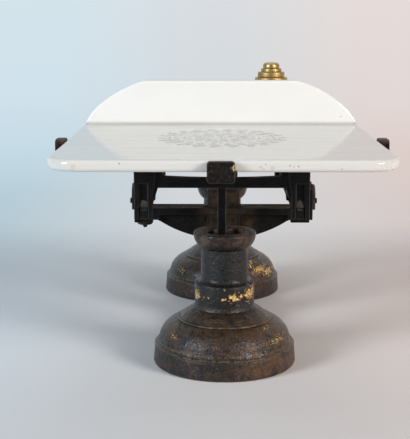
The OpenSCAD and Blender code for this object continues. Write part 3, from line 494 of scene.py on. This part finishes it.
def turned_brass(tree, where, shader, finish, centre_x, centre_y):
    """Lathe-turned brass gone dull with handling: warm metal, faint rings, brown tarnish in the corners."""
    local = add(tree, "VectorMath", {0: where, 1: (centre_x, centre_y, 0)}, operation="SUBTRACT")
    x, y, _ = add(tree, "SeparateXYZ", {0: local}, out=None).outputs
    radius = radial(tree, x, y)
    # turning rings every 0.8 mm
    rings = add(tree, "Math", {0: product(tree, radius, 2 * math.pi / (0.8 * MM))}, operation="SINE")
    tarnish = cloud(tree, where, 12, 0.38, 0.66, 7, 0.68)
    spots = cloud(tree, where, 1.8, 0.60, 0.70, 3, 0.6, 0.4)
    colour = blended(tree, product(tree, tarnish, 0.6), finish.brass, "#a28650")
    colour = blended(tree, product(tree, spots, 0.5), colour, "#755d37")
    rough = graded(tree, tarnish, 0, 1, 0.36, 0.54)
    skin = raised(tree, rings, 0.01)
    skin = raised(tree, cloud(tree, where, 2.5, 0.3, 0.7, 4), 0.03, skin)
    fed(tree, shader, {"Base Color": colour, "Roughness": rough, "Normal": skin, "Metallic": 1.0})


# Small stains on the plate: place in mm, radius in mm, strength and colour
STAINS = (((-91.5, -297.5, 223.4), 0.8, 0.85, "#2b2620"), ((-130.6, -297.5, 220.4), 3.0, 0.35, "#c2aa84"),
    ((28.5, -297.5, 220.4), 1.6, 0.40, "#b59878"), ((33.0, -297.5, 222.6), 0.7, 0.70, "#8b5a34"),
    ((38.6, -297.5, 219.7), 2.2, 0.40, "#b59878"), ((31.0, -297.5, 218.8), 1.1, 0.40, "#a8825c"),
    ((53.3, -297.5, 221.6), 0.7, 0.80, "#4a3524"), ((56.6, -297.5, 220.8), 0.7, 0.60, "#8b5a34"),
    ((60.6, -297.5, 221.0), 0.8, 0.80, "#6d4a30"), ((97.4, -297.5, 218.9), 0.7, 0.80, "#5a4632"),
    ((131.2, 3.5, 234.7), 0.7, 0.80, "#4a4038"), ((102.0, 4.5, 268.4), 2.0, 0.40, "#cdbb94"),
    ((88.0, -268.0, 226.2), 0.8, 0.80, "#6e5a44"), ((-118.0, -205.0, 226.2), 0.7, 0.80, "#6e5a44"),
)


def wreath(tree, where):
    """Mask of the print under the glaze: two leafy rings, a beaded one and a rosette."""
    local = add(tree, "Mapping", {0: where, 1: (3 * MM, 131 * MM, 0)})
    x, y, z = add(tree, "SeparateXYZ", {0: local}, out=None).outputs
    half_width, half_length = 66 * MM, 80 * MM
    across = maths(tree, "DIVIDE", x, half_width)
    along = maths(tree, "DIVIDE", y, half_length)
    radius = radial(tree, across, along)
    turn = maths(tree, "ARCTAN2", along, across)

    def petals(count, phase, slant):
        """Wave round the middle, 0 to 1, that slants outwards."""
        lean = product(tree, radius, slant)
        angle = maths(tree, "ADD", product(tree, turn, count), lean, phase)
        wave = add(tree, "Math", {0: angle}, operation="SINE")
        return graded(tree, wave, -1.0, 1.0)

    def leafy(centre, half, wave, edge):
        """Leaves on a ring: the ring's width follows the wave."""
        off = add(tree, "Math", {0: maths(tree, "SUBTRACT", radius, centre)}, operation="ABSOLUTE")
        room = product(tree, wave, half)
        gap = maths(tree, "SUBTRACT", room, off)
        return graded(tree, gap, 0.0, edge, **SMOOTH)

    outer = leafy(0.88, 0.12, petals(22.0, 0.0, 8.0), 0.02)
    inner = leafy(0.70, 0.09, petals(22.0, 1.6, -8.0), 0.02)
    rings = largest(tree, between(tree, radius, 0.775, 0.81, 0.006), between(tree, radius, 0.555, 0.585, 0.006))
    beads = leafy(0.49, 0.045, petals(30.0, 0.0, 0.0), 0.01)
    rose = leafy(0.24, 0.17, petals(8.0, 0.8, 0.0), 0.03)
    buds = leafy(0.38, 0.08, petals(8.0, 3.9, 0.0), 0.02)
    heart = between(tree, radius, -1.0, 0.07, 0.01)
    figure = largest(tree, outer, inner, rings, beads, rose, buds, heart)
    # the engraver's lines break up into patches of about 3 mm
    hatch = add(tree, "TexNoise", {"Vector": local, "Scale": per(3.0), "Detail": 3.0, "Roughness": 0.7})
    hatch = graded(tree, hatch, 0.42, 0.56, 0.35, 1.0)
    top = graded(tree, z, PLATE_TOP - 1 * MM, PLATE_TOP - 0.2 * MM)
    return product(tree, figure, hatch, top)


def glazed_ironstone(tree, where, shader, finish):
    """White ironstone under a clear lead glaze: bright, glassy, faintly wavy, with hairline crazing,
    brown specks where the glaze is chipped and a grey transfer print in the middle."""
    _, y, z = add(tree, "SeparateXYZ", {0: where}, out=None).outputs
    shade = cloud(tree, where, 90, 0.35, 0.65, 3)
    clean = blended(tree, product(tree, shade, 0.5), finish.glaze, "#f1f0ea")
    # painted shade: the top and the edge are greyer than the board, for the light that falls on them; the top also
    # has knife-thin strokes of wear
    strokes = add(tree, "Mapping", {0: where, 3: (0.10, 1.0, 1.0)})
    strokes = cloud(tree, strokes, 9, 0.36, 0.66, 6, 0.7, 0.2)
    rise = graded(tree, z, PLATE_TOP + 0.4 * MM, PLATE_TOP + 3.8 * MM)
    top_face = graded(tree, z, PLATE_TOP - 1.2 * MM, PLATE_TOP - 0.1 * MM)
    colour = blended(tree, top_face, "#dddcd6", blended(tree, strokes, "#c8c8c3", "#d2d1cc"))
    colour = blended(tree, rise, colour, clean)
    # painted shade: a grey line along the board's crest, where the rounding faces up
    crest_shade = graded(tree, z, PLATE_HIGH.z - 1.6 * MM, PLATE_HIGH.z)
    colour = blended(tree, product(tree, crest_shade, 0.6), colour, "#a9a8a2")
    # crazing: cells of about 9 mm, with hairlines that only just show
    cells = add(tree, "TexVoronoi", {"Vector": where, "Scale": per(9)}, feature="DISTANCE_TO_EDGE")
    hair = graded(tree, cells, 0.012, 0.045, 1.0, 0.0)
    hair = product(tree, hair, cloud(tree, where, 45, 0.5, 0.66, 4, 0.6, 0.8))
    colour = blended(tree, product(tree, hair, 0.05), colour, "#8d8272")
    colour = blended(tree, wreath(tree, where), colour, "#3c3c3b")
    # darker along the crease where the board stands on the plate
    nook = product(tree, between(tree, y, BOARD_FRONT - 2 * MM, BOARD_FRONT, 1.5 * MM),
                   between(tree, z, PLATE_TOP - 1.2 * MM, PLATE_TOP + 2.2 * MM, 1.2 * MM))
    colour = blended(tree, product(tree, nook, 0.35), colour, "#a09a8c")
    chips = []
    for place, size, strength, stain in STAINS:
        centre = tuple(c * MM for c in place)
        away = add(tree, "VectorMath", {0: where, 1: centre}, operation="DISTANCE", out="Value")
        ragged = add(tree, "TexNoise", {"Vector": where, "Scale": per(1.6), "Detail": 3.0})
        away = maths(tree, "ADD", away, product(tree, ragged, size * 0.9 * MM))
        spot = graded(tree, away, size * MM, size * 1.5 * MM, 1.0, 0.0)
        colour = blended(tree, product(tree, spot, strength), colour, stain)
        chips.append(spot)
    rough = graded(tree, cloud(tree, where, 30, 0.3, 0.7, 5), 0, 1, 0.03, 0.07)
    rough = add(tree, "Mix", {0: largest(tree, *chips), 2: rough, 3: 0.6})
    skin = raised(tree, cloud(tree, where, 60, 0.2, 0.8, 2, 0.4), 0.10)
    skin = raised(tree, product(tree, hair, -1.0), 0.02, skin)
    fed(tree, shader, {"Base Color": colour, "Roughness": rough, "Normal": skin, "IOR": 1.52})


def black_tin(tree, where, shader):
    """Pressed sheet iron of the weights pan under stoving enamel: smooth, glossy black, scuffed grey."""
    scuff = cloud(tree, where, 6, 0.56, 0.72, 8, 0.74)
    wide = cloud(tree, where, 50, 0.4, 0.62, 5)
    colour = blended(tree, wide, "#1d1c1c", "#2c2722")
    colour = blended(tree, product(tree, scuff, 0.5), colour, "#6a625a")
    rough = graded(tree, scuff, 0, 1, 0.22, 0.55)
    skin = raised(tree, cloud(tree, where, 12, 0.3, 0.7, 4), 0.12)
    fed(tree, shader, {"Base Color": colour, "Roughness": rough, "Normal": skin})


def material(name, make, *args):
    """The material of that name, made once. No name is one of the carried-over nodes' own materials."""
    found = bpy.data.materials.get(name)
    if found:
        return found
    m = bpy.data.materials.new(name)
    m.use_nodes = True
    tree = m.node_tree
    tree.nodes.clear()
    shader = add(tree, "BsdfPrincipled", out=None)
    add(tree, "OutputMaterial", {"Surface": shader.outputs[0]}, out=None)
    make(tree, add(tree, "TexCoord", out="Object"), shader, *args)
    return m


# The pieces


def bell_outline(s):
    """Radius and height round the wall of a pedestal, outside up and inside down, in metres."""
    foot, band, column = s.foot_radius / MM, s.band_radius / MM, s.column_radius / MM
    collar, top, mouth = s.collar_radius / MM, s.collar_height / MM, s.mouth_radius / MM
    dome_top, band_top, neck = 57.6, 83.4, top - 17.5
    shoulder, shoulder_z = foot - 25, SHOULDER_HEIGHT / MM
    outside = [(foot - 2.4, 0), (foot - 1.5, 0.35), (foot - 0.8, 1), (foot - 0.2, 2.0), (foot, 3.2),
               (foot - 1.3, 18.8)]
    outside += arc((foot - 1.5, 19.2), (foot - 1.1, 20.1), (foot - 2, 21), 7)
    outside += [(foot - 2.8, 21.5), (foot - 3.6, 22.6), (foot - 4.4, 24.4)]
    outside += arc((foot - 5.6, 26.4), (foot - 11.4, 38.2), (shoulder, shoulder_z), 30)
    outside += arc((shoulder + 0.9, shoulder_z + 0.3), (shoulder + 0.2, shoulder_z + 1.6),
                   (shoulder - 1.3, shoulder_z + 2), 8)
    outside += arc((shoulder - 2, shoulder_z + 2.4), (shoulder - 6.9, shoulder_z + 6.4), (band + 1.2, dome_top), 14)
    outside += [(band + 0.3, dome_top + 2.4), (band, dome_top + 5.4)]
    outside += [(band, band_top - 1.6), (band - 0.3, band_top - 0.6), (band - 1.2, band_top)]
    outside += [(band - 3.6, band_top + 0.6), (column + 1.8, band_top + 2.2), (column + 1.0, band_top + 3.6)]
    outside += [(column + 0.35, neck - 0.6)]
    outside += arc((column + 0.5, neck + 0.8), (collar - 3, neck + 5.8), (collar - 0.2, neck + 13.5), 12)
    outside += [(collar, top - 1.8), (collar - 0.4, top - 0.7), (collar - 1.2, top - 0.15), (collar - 2.4, top)]
    inside = [(mouth + 2.6, top)] + arc((mouth + 1.6, top - 0.4), (mouth + 0.5, top - 1.4), (mouth, top - 3), 4)
    inside += [(mouth, neck - 2), (column - 3.6, band_top - 2), (band - 6.5, dome_top + 2)]
    inside += arc((band - 3, dome_top - 4.6), (shoulder - 10.5, shoulder_z + 2.6),
                  (shoulder - 4, shoulder_z - 3.4), 8)
    inside += arc((shoulder - 3, shoulder_z - 4.4), (foot - 16.1, 35), (foot - 10.8, 25), 12)
    inside += [(foot - 6.2, 19), (foot - 6, 0)]
    points = fine(outside, 2.2) + fine(inside, 5.0)
    return [(x * MM, z * MM) for x, z in points]


class COUNTER_OT_pedestals(bpy.types.Operator):
    """Two cast iron bells with moulded band and collar"""
    bl_idname = "counter.pedestals"
    bl_label = "Pedestals"

    def execute(self, context):
        s, finish = context.scene.scale_sizes, context.scene.scale_finish
        place = middle("near_pedestal")
        tunnel_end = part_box("tunnel")[1].y
        near = turned("near_bell", (place.x, place.y, 0), bell_outline(s), 168, closed=True)
        # pad inside that the tunnel's tongue is screwed up to, and the way out through the wall
        wall, pad_half, pad_depth, run_out = 22 * MM, 26 * MM, 14 * MM, 5 * MM
        inner = place.y + s.foot_radius - wall
        cut(near, (-pad_half, inner - pad_depth, s.tunnel_height), (pad_half, inner, SHOULDER_HEIGHT), "UNION")
        cut(near, (-s.tunnel_width / 2, inner - run_out, -1 * MM),
            (s.tunnel_width / 2, tunnel_end, s.tunnel_height))
        screw_x, screw_radius, screw_depth, screw_rise = 16.12 * MM, 2.5 * MM, 8 * MM, 3 * MM
        for x in (-screw_x, screw_x):
            nothing_selected()
            bpy.ops.mesh.primitive_cylinder_add(vertices=32, radius=screw_radius, depth=screw_depth,
                                                location=(x, middle("near_screws").y, s.tunnel_height + screw_rise))
            drill = context.object
            modified(near, "BOOLEAN", operation="DIFFERENCE", object=drill, solver="EXACT")
            bpy.data.objects.remove(drill)
        # the sand mould's uneven skin, outside only and away from the rims
        skin = near.vertex_groups.new(name="skin")
        foot_edge, bore, collar_edge = 3 * MM, 19 * MM, 0.6 * MM
        outer = [v.index for v in near.data.vertices if v.co.z > foot_edge and (v.co.xy - place.xy).length > bore
                 and abs(v.co.z - s.collar_height) > collar_edge]
        skin.add(outer, 1.0, "REPLACE")
        clouds = bpy.data.textures.new("casting_skin", "CLOUDS")
        clouds.noise_scale = 14 * MM
        clouds.noise_depth = 3
        modified(near, "DISPLACE", texture=clouds, texture_coords="LOCAL", strength=s.cast_roughness,
                 mid_level=0.5, vertex_group="skin")
        near.vertex_groups.clear()
        only(near)
        bpy.ops.object.duplicate()
        far = context.object
        far.name = far.data.name = "far_bell"
        bpy.ops.object.mode_set(mode="EDIT")
        bpy.ops.mesh.select_all(action="SELECT")
        bpy.ops.transform.rotate(value=math.pi, orient_axis="Z", center_override=(0, 0, 0))
        bpy.ops.object.mode_set(mode="OBJECT")
        # what is left of the gold leaf: x, z, half width, half height in mm and how full
        near_gold = ((9, 73, 7, 4.2, 0.95), (24.5, 75, 6.0, 6.8, 0.82), (-28, 72, 3.0, 4.5, 0.85),
                     (-19, 71, 6, 3, 0.35), (-1, 71, 5, 2.4, 0.35))
        far_gold = ((34, 42, 8, 4.5, 0.5), (46, 36, 10, 5.0, 0.55), (57, 30, 8, 5.5, 0.6), (2, 74, 26, 6, -0.1))
        near_specks = ((52, 33, 17, 10, 0.0), (-50, 35, 9, 10, -0.1), (40, 44, 10, 5, -0.1))
        far_specks = ((-50, 33, 14, 7, -0.05), (44, 34, 18, 9, 0.1))
        near_iron = (finish, True, near_gold, near_specks, place.y)
        far_iron = (finish, True, far_gold, far_specks, -place.y, 0.3)
        finished(near, 34, material("japanned_iron_near_foot", japanned_iron, *near_iron))
        finished(far, 34, material("japanned_iron_far_foot", japanned_iron, *far_iron))
        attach(near, "base")
        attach(far, "base")
        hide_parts("near_pedestal")
        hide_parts("far_pedestal")
        return {"FINISHED"}


class COUNTER_OT_plate(bpy.types.Operator):
    """Glazed plate with its backboard"""
    bl_idname = "counter.plate"
    bl_label = "Goods plate"

    def execute(self, context):
        s, finish = context.scene.scale_sizes, context.scene.scale_finish
        low, high = PLATE_LOW, PLATE_HIGH
        top = low.z + s.plate_thickness
        centre = (low + high) / 2
        under = low.z - s.rim_drop
        back_corner, top_round, rim_round, hollow, hair = 9 * MM, 4 * MM, 3.4 * MM, 2 * MM, 0.1 * MM
        nothing_selected()
        bpy.ops.mesh.primitive_plane_add(size=1, location=(centre.x, centre.y, under))
        plate = started("glazed_plate")
        bpy.ops.transform.resize(value=(high.x - low.x, high.y - low.y, 1))
        rounded(plate, "VERT", lambda co: co.y < centre.y, s.plate_corner, 20)
        rounded(plate, "VERT", lambda co: co.y > centre.y, back_corner, 10)
        bpy.ops.mesh.select_all(action="SELECT")
        extruded(0, 0, top - under)
        bpy.ops.mesh.select_all(action="SELECT")
        bpy.ops.mesh.normals_make_consistent(inside=False)
        rounded(plate, "EDGE", lambda a, b: min(a.z, b.z) > top - hair, top_round, 7)
        rounded(plate, "EDGE", lambda a, b: max(a.z, b.z) < under + hair, rim_round, 6)
        bpy.ops.object.mode_set(mode="OBJECT")
        # seat inside the rim, and notches in the rim for the spider's four arms
        rim, arm, spare = 9 * MM, 13 * MM, 5 * MM
        cut(plate, (low.x + rim, low.y + rim, under - spare), (high.x - rim, high.y - rim, low.z))
        cut(plate, (low.x - spare, centre.y - arm, under - spare), (high.x + spare, centre.y + arm, low.z))
        cut(plate, (centre.x - arm, low.y - spare, under - spare), (centre.x + arm, high.y + spare, low.z))

        # board: its outline drawn point by point, with long falling shoulders
        end_gap, root, steps, slack = 1.6 * MM, 6 * MM, 40, 1.38
        half = (high.x - low.x) / 2 - end_gap
        turns = [math.pi / 2 * (k / steps) for k in range(steps + 1)]
        right = [(s.back_flat + (half - s.back_flat) * math.cos(t) ** slack, s.back_height * math.sin(t) ** slack)
                 for t in turns]
        outline = [(-half, -root), (half, -root)] + right + [(-x, z) for x, z in reversed(right)]
        front = high.y - s.back_thickness
        board = drawn("board", (centre.x, front, top), outline)
        bpy.ops.mesh.edge_face_add()
        bpy.ops.mesh.select_all(action="SELECT")
        extruded(0, s.back_thickness, 0)
        bpy.ops.mesh.select_all(action="SELECT")
        bpy.ops.mesh.normals_make_consistent(inside=False)
        bpy.ops.object.mode_set(mode="OBJECT")
        modified(board, "BEVEL", limit_method="ANGLE", angle_limit=math.radians(60), width=3 * MM, segments=5,
                 use_clamp_overlap=False)
        modified(plate, "BOOLEAN", operation="UNION", object=board, solver="EXACT")
        bpy.data.objects.remove(board)
        only(plate)
        bpy.ops.object.mode_set(mode="EDIT")
        bpy.ops.mesh.select_all(action="SELECT")
        bpy.ops.mesh.remove_doubles(threshold=1e-5)
        bpy.ops.mesh.dissolve_limited(angle_limit=math.radians(0.5))
        # small hollow where the board stands on the plate
        rounded(plate, "EDGE", lambda *ends: all(
            abs(co.z - top) < hair / 5 and abs(co.y - front) < hair / 2 for co in ends), hollow, 5)
        bpy.ops.object.mode_set(mode="OBJECT")
        finished(plate, 38, material("glazed_ironstone", glazed_ironstone, finish))
        modified(plate, "WEIGHTED_NORMAL", keep_sharp=True, weight=50)
        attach(plate, "goods_plate")
        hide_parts("goods_plate")
        return {"FINISHED"}


class COUNTER_OT_pan(bpy.types.Operator):
    """Pressed pan for the weights"""
    bl_idname = "counter.pan"
    bl_label = "Weights pan"

    def execute(self, context):
        s = context.scene.scale_sizes
        centre = (PAN_LOW + PAN_HIGH) / 2
        rim = (PAN_HIGH.x - PAN_LOW.x) / 2 / MM
        sheet, deep = s.pan_sheet / MM, s.pan_depth / MM
        outline = [(0, -sheet), (rim * 0.45, -sheet), (rim - 5, -sheet)]
        outline += arc((rim - 3.6, -sheet + 0.4), (rim - 1, -sheet + 2), (rim, -sheet + 5), 8)
        outline += [(rim, deep - 2.4)]
        # rim rolled over a wire
        outline += arc((rim, deep - 2.1), (rim - 1.5, deep - 0.05), (rim - 3.1, deep - 2.4), 14)
        outline += [(rim - 2.7, 3.4)]
        outline += arc((rim - 2.8, 2.8), (rim - 3.6, 0.9), (rim - 5.4, 0), 8)
        # pressed ring in the floor
        ring = rim * 0.80
        outline += [(ring, 0), (ring - 0.7, -0.35), (ring - 1.6, -0.35), (ring - 2.3, 0)]
        outline += [(rim * 0.3, 0), (0, 0)]
        points = [(x * MM, z * MM) for x, z in fine(outline, 9)]
        pan = turned("pressed_pan", (centre.x, centre.y, PAN_LOW.z + s.pan_sheet), points, 144, closed=False)
        finished(pan, 40, material("black_tin", black_tin))
        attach(pan, "weights_pan")
        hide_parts("weights_pan")
        return {"FINISHED"}


WEIGHTS = ("weight_2lb", "weight_1lb", "weight_8oz", "weight_4oz", "weight_2oz", "weight_1oz", "weight_half_oz")


class COUNTER_OT_weights(bpy.types.Operator):
    """Set of seven turned brass weights"""
    bl_idname = "counter.weights"
    bl_label = "Brass weights"

    def execute(self, context):
        finish = context.scene.scale_finish
        for name in WEIGHTS:
            low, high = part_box(name)
            centre = (low + high) / 2
            r, h = (high.x - low.x) / 2 / MM, (high.z - low.z) / MM
            # width of the rounding at the edges
            e = min(1.1, h * 0.17)
            outline = [(0, 0), (r - e - 1.2, 0), (r - e, 0)]
            outline += arc((r - e * 0.8, 0.02), (r - e * 0.29, e * 0.29), (r, e), 5)
            if name == "weight_half_oz":
                # button with a waist under its flat head
                outline += [(r, h - 2.6)]
                outline += arc((r - 0.1, h - 2.3), (r - 1.0, h - 1.2), (r - 2.4, h - 0.5), 6)
                outline += [(r - 3.4, h), (r * 0.4, h), (r * 0.34, h - 0.3), (0, h - 0.3)]
            else:
                outline += [(r, h - e)]
                outline += arc((r - 0.02, h - e * 0.8), (r - e * 0.29, h - e * 0.29), (r - e, h), 5)
                # turned ring inside the rim and a shallow dish in the middle, under the next weight
                outline += [(r - e - 0.8, h), (r - e - 1.1, h - 0.35), (r - e - 1.7, h - 0.35), (r - e - 2.0, h)]
                outline += [(r * 0.35, h), (r * 0.3, h - 0.25), (0, h - 0.25)]
            points = [(x * MM, z * MM) for x, z in fine(outline, 4)]
            piece = turned("brass_" + name, (centre.x, centre.y, low.z), points, 96, closed=False)
            finished(piece, 36, material("turned_brass", turned_brass, finish, centre.x, centre.y))
            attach(piece, name)
            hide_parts(name)
        return {"FINISHED"}


# The nodes by their finish: cast iron, the stays' rubbed iron with painted highlights on their edges, rust,
# and the ones modelled here; the rest are steel
CASTINGS = ("tunnel", "centre_foot", "stand", "beam", "balance_box", "goods_spider", "goods_yoke", "weights_spider",
            "weights_yoke", "check_link", "cover_left")
STAYS = ("goods_stay", "weights_stay")
RUSTED = ("cover_right",)
MODELLED = ("near_pedestal", "far_pedestal", "goods_plate", "weights_pan") + WEIGHTS


class COUNTER_OT_ironwork(bpy.types.Operator):
    """Finish of the cast frame, its covers and the steel parts"""
    bl_idname = "counter.ironwork"
    bl_label = "Ironwork"

    def execute(self, context):
        finish = context.scene.scale_finish
        iron = material("japanned_iron_frame", japanned_iron, finish, False, ((6.2, 221.0, 3.6, 4.2, 0.55),))
        edge = material("worn_and_highlit_edge", worn_and_highlit_edge, "#0a0909", "#1c1916")
        # the stays' light edges are painted highlights
        bright = material("rubbed_and_highlit_edge", worn_and_highlit_edge, "#2f2e2b", "#5b5953")
        rust = material("rust_brown_iron", rusted_iron)
        steel = material("dull_steel", dull_steel, finish)
        coats = {name: (iron, edge) for name in CASTINGS}
        coats.update({name: (iron, bright) for name in STAYS})
        coats.update({name: (rust, edge) for name in RUSTED})
        cast_round, steel_round = 0.7 * MM, 0.25 * MM
        for name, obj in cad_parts.items():
            if name in MODELLED:
                continue
            obj.data.materials.clear()
            for m in coats.get(name, (steel, steel)):
                obj.data.materials.append(m)
            modified(obj, "WELD", apply=False, merge_threshold=2e-6)
            modified(obj, "DECIMATE", apply=False, decimate_type="DISSOLVE", angle_limit=math.radians(1.0))
            modified(obj, "BEVEL", apply=False, limit_method="ANGLE", angle_limit=math.radians(38),
                     width=cast_round if name in coats else steel_round, segments=2, use_clamp_overlap=False,
                     material=1, harden_normals=False)
        return {"FINISHED"}


# Soft lamps: name, place, what it faces, side of its square, power and colour
LAMPS = (("left_softbox", (-1.5, -1.2, 0.85), (0, -0.05, 0.16), 0.65, 27, "#eff6ff"),
    ("right_softbox", (1.42, -1.25, 0.88), (0, -0.05, 0.16), 0.65, 27, "#fff6f0"),
    ("top_softbox", (0, 0.3, 1.9), (0, 0.1, 0), 1.6, 7, "#ffffff"),
)
# Camera worked out from the photograph: its place, tilt down and turn in radians, and lens in mm
CAMERA_PLACE = (-0.01195, -1.2028, 0.34963)
CAMERA_DOWN, CAMERA_TURN, CAMERA_LENS = 0.1903, 0.0074, 88.41


class COUNTER_OT_stage(bpy.types.Operator):
    """Pale floor and backdrop, soft lamps and the camera"""
    bl_idname = "counter.stage"
    bl_label = "Stage"

    def execute(self, context):
        finish = context.scene.scale_finish
        nothing_selected()
        bpy.ops.mesh.primitive_plane_add(size=1, location=(0, 0, 0))
        sweep = started("paper_sweep")
        paper_width, paper_length, paper_middle = 9, 4.2, -1.2
        bpy.ops.transform.resize(value=(paper_width, paper_length, 1))
        bpy.ops.transform.translate(value=(0, paper_middle, 0))
        pick(sweep, "EDGE", lambda a, b: min(a.y, b.y) > 0)
        # the paper turns up behind the scale in a wide curve
        radius, steps, upright = 1.4, 14, 3
        step = radius * math.pi / 2 / steps
        for k in range(steps):
            turn = math.radians(90 * (k + 0.5) / steps)
            extruded(0, step * math.cos(turn), step * math.sin(turn))
        extruded(0, 0, upright)
        bpy.ops.object.mode_set(mode="OBJECT")
        finished(sweep, 60, material("matt_paper", matt_paper, finish))
        bpy.ops.object.select_all(action="DESELECT")
        for name, place, target, size, power, colour in LAMPS:
            bpy.ops.object.light_add(type="AREA", location=place)
            lamp = context.object
            lamp.name = name
            lamp.data.shape = "RECTANGLE"
            lamp.data.size = lamp.data.size_y = size
            lamp.data.energy = power
            lamp.data.color = tone(colour)[:3]
            lamp.rotation_euler = (Vector(target) - Vector(place)).to_track_quat("-Z", "Y").to_euler()
        world = bpy.data.worlds.new("studio")
        context.scene.world = world
        world.use_nodes = True
        tree = world.node_tree
        tree.nodes.clear()
        air = add(tree, "Background", {0: tone("#e9eaec"), 1: 0.15})
        # the camera sees the room as pale as the paper
        pale = add(tree, "Background", {0: tone("#dbdee1"), 1: 1.0})
        seen = add(tree, "LightPath", out="Is Camera Ray")
        both = add(tree, "MixShader", {0: seen, 1: air, 2: pale})
        add(tree, "OutputWorld", {0: both}, out=None)

        bpy.ops.object.camera_add(location=CAMERA_PLACE, rotation=(math.pi / 2 - CAMERA_DOWN, 0, CAMERA_TURN))
        camera = context.object
        camera.data.lens = CAMERA_LENS
        camera.data.sensor_width = 36
        camera.data.sensor_fit = "AUTO"
        context.scene.camera = camera
        context.scene.view_settings.view_transform = "Standard"
        return {"FINISHED"}


def matt_paper(tree, where, shader, finish):
    """Matt background paper: pale, even, without gloss. Painted light makes it a little blue on the left and pink on
    the right and greyer towards the front; the camera sees it grow lighter away from the scale, with painted shade
    close behind it."""
    x, y, z = add(tree, "SeparateXYZ", {0: where}, out=None).outputs
    # painted light: blue on the left and pink on the right, as the tinted lamps give
    side = graded(tree, x, -0.30, 0.30)
    paper_and_light_tint = add(tree, "ValToRGB", {0: side}, stops=((0.0, "#d9e6ee"), (0.5, finish.floor), (1.0, "#e9dcd7")))
    # painted shade: a little greyer towards the front
    near = graded(tree, y, -0.12, -0.50)
    paper_and_light_tint = blended(tree, product(tree, near, 0.50), paper_and_light_tint, "#9fa2a4")
    grain = cloud(tree, where, 3, 0.3, 0.7, 3)
    paper_and_light_tint = blended(tree, product(tree, grain, 0.12), paper_and_light_tint, "#dcdcdc")
    skin = raised(tree, cloud(tree, where, 1.5, 0.3, 0.7, 2), 0.03)
    fed(tree, shader, {"Base Color": paper_and_light_tint, "Roughness": 0.9, "Normal": skin, "Specular IOR Level": 0.2})
    # distance behind the scale plus height, as the camera sees the paper rise
    far = maths(tree, "ADD", y, z)
    away = radial(tree, x, y)
    reach = largest(tree, far, maths(tree, "SUBTRACT", away, 0.5))
    rise = graded(tree, reach, 0.3, 2.3)
    # left, middle and right of the paper, from behind the scale to the top: painted light, blue on the left and pink
    # on the right, and painted shade where it is darker close behind the scale
    left, centre, right = (add(tree, "ValToRGB", {0: rise}, stops=stops) for stops in (
        ((0.0, "#aec4cf"), (0.3, "#b8ced9"), (0.5, "#c5dbe6"), (0.66, "#cfe1eb"), (1.0, "#d5e4eb")),
        ((0.0, "#c6cacd"), (0.12, "#d3d5d8"), (0.5, "#d2d7da"), (0.66, "#d5dade"), (1.0, "#d9dde1")),
        ((0.0, "#c9bebb"), (0.15, "#d5c8c4"), (0.5, "#decfca"), (0.66, "#e2d8d5"), (1.0, "#e5dcda"))))
    go_left = graded(tree, x, -0.05, -0.40)
    go_right = graded(tree, x, 0.03, 0.38)
    paper = blended(tree, go_right, blended(tree, go_left, centre, left), right)
    ends = graded(tree, away, 1.9, 3.4, **SMOOTH)
    paper = blended(tree, ends, paper, "#dbdee1")
    glow = add(tree, "Emission", {0: paper, 1: 1.0})
    path = add(tree, "LightPath", out=None).outputs
    seen = largest(tree, path["Is Camera Ray"], path["Is Glossy Ray"], path["Is Transmission Ray"])
    behind = graded(tree, far, 0.14, 0.62, **SMOOTH)
    around = graded(tree, away, 0.75, 1.7, **SMOOTH)
    shown = product(tree, seen, largest(tree, behind, around))
    mixed = add(tree, "MixShader", {0: shown, 1: shader.outputs[0], 2: glow})
    fed(tree, tree.nodes["Material Output"], {"Surface": mixed})


class COUNTER_PT_panel(bpy.types.Panel):
    """Lists the pieces in the 3D view's sidebar"""
    bl_label = "Counter scale"
    bl_idname = "COUNTER_PT_panel"
    bl_space_type = "VIEW_3D"
    bl_region_type = "UI"
    bl_category = "Scale"

    def draw(self, context):
        for name in OPERATORS:
            self.layout.operator("counter." + name)
        for group in (context.scene.scale_sizes, context.scene.scale_finish):
            box = self.layout.box()
            for key in group.bl_rna.properties.keys():
                if key not in ("rna_type", "name"):
                    box.prop(group, key)


OPERATORS = ("pedestals", "plate", "pan", "weights", "ironwork", "stage")
CLASSES = (ScaleSizes, ScaleFinish, COUNTER_OT_pedestals, COUNTER_OT_plate, COUNTER_OT_pan, COUNTER_OT_weights,
           COUNTER_OT_ironwork, COUNTER_OT_stage, COUNTER_PT_panel)


def register():
    for c in CLASSES:
        bpy.utils.register_class(c)
    bpy.types.Scene.scale_sizes = bpy.props.PointerProperty(type=ScaleSizes)
    bpy.types.Scene.scale_finish = bpy.props.PointerProperty(type=ScaleFinish)


def unregister():
    del bpy.types.Scene.scale_finish
    del bpy.types.Scene.scale_sizes
    for c in reversed(CLASSES):
        bpy.utils.unregister_class(c)


def main():
    """Registers the classes and makes every piece in turn."""
    register()
    for name in OPERATORS:
        getattr(bpy.ops.counter, name)()


if __name__ == "__main__":
    main()
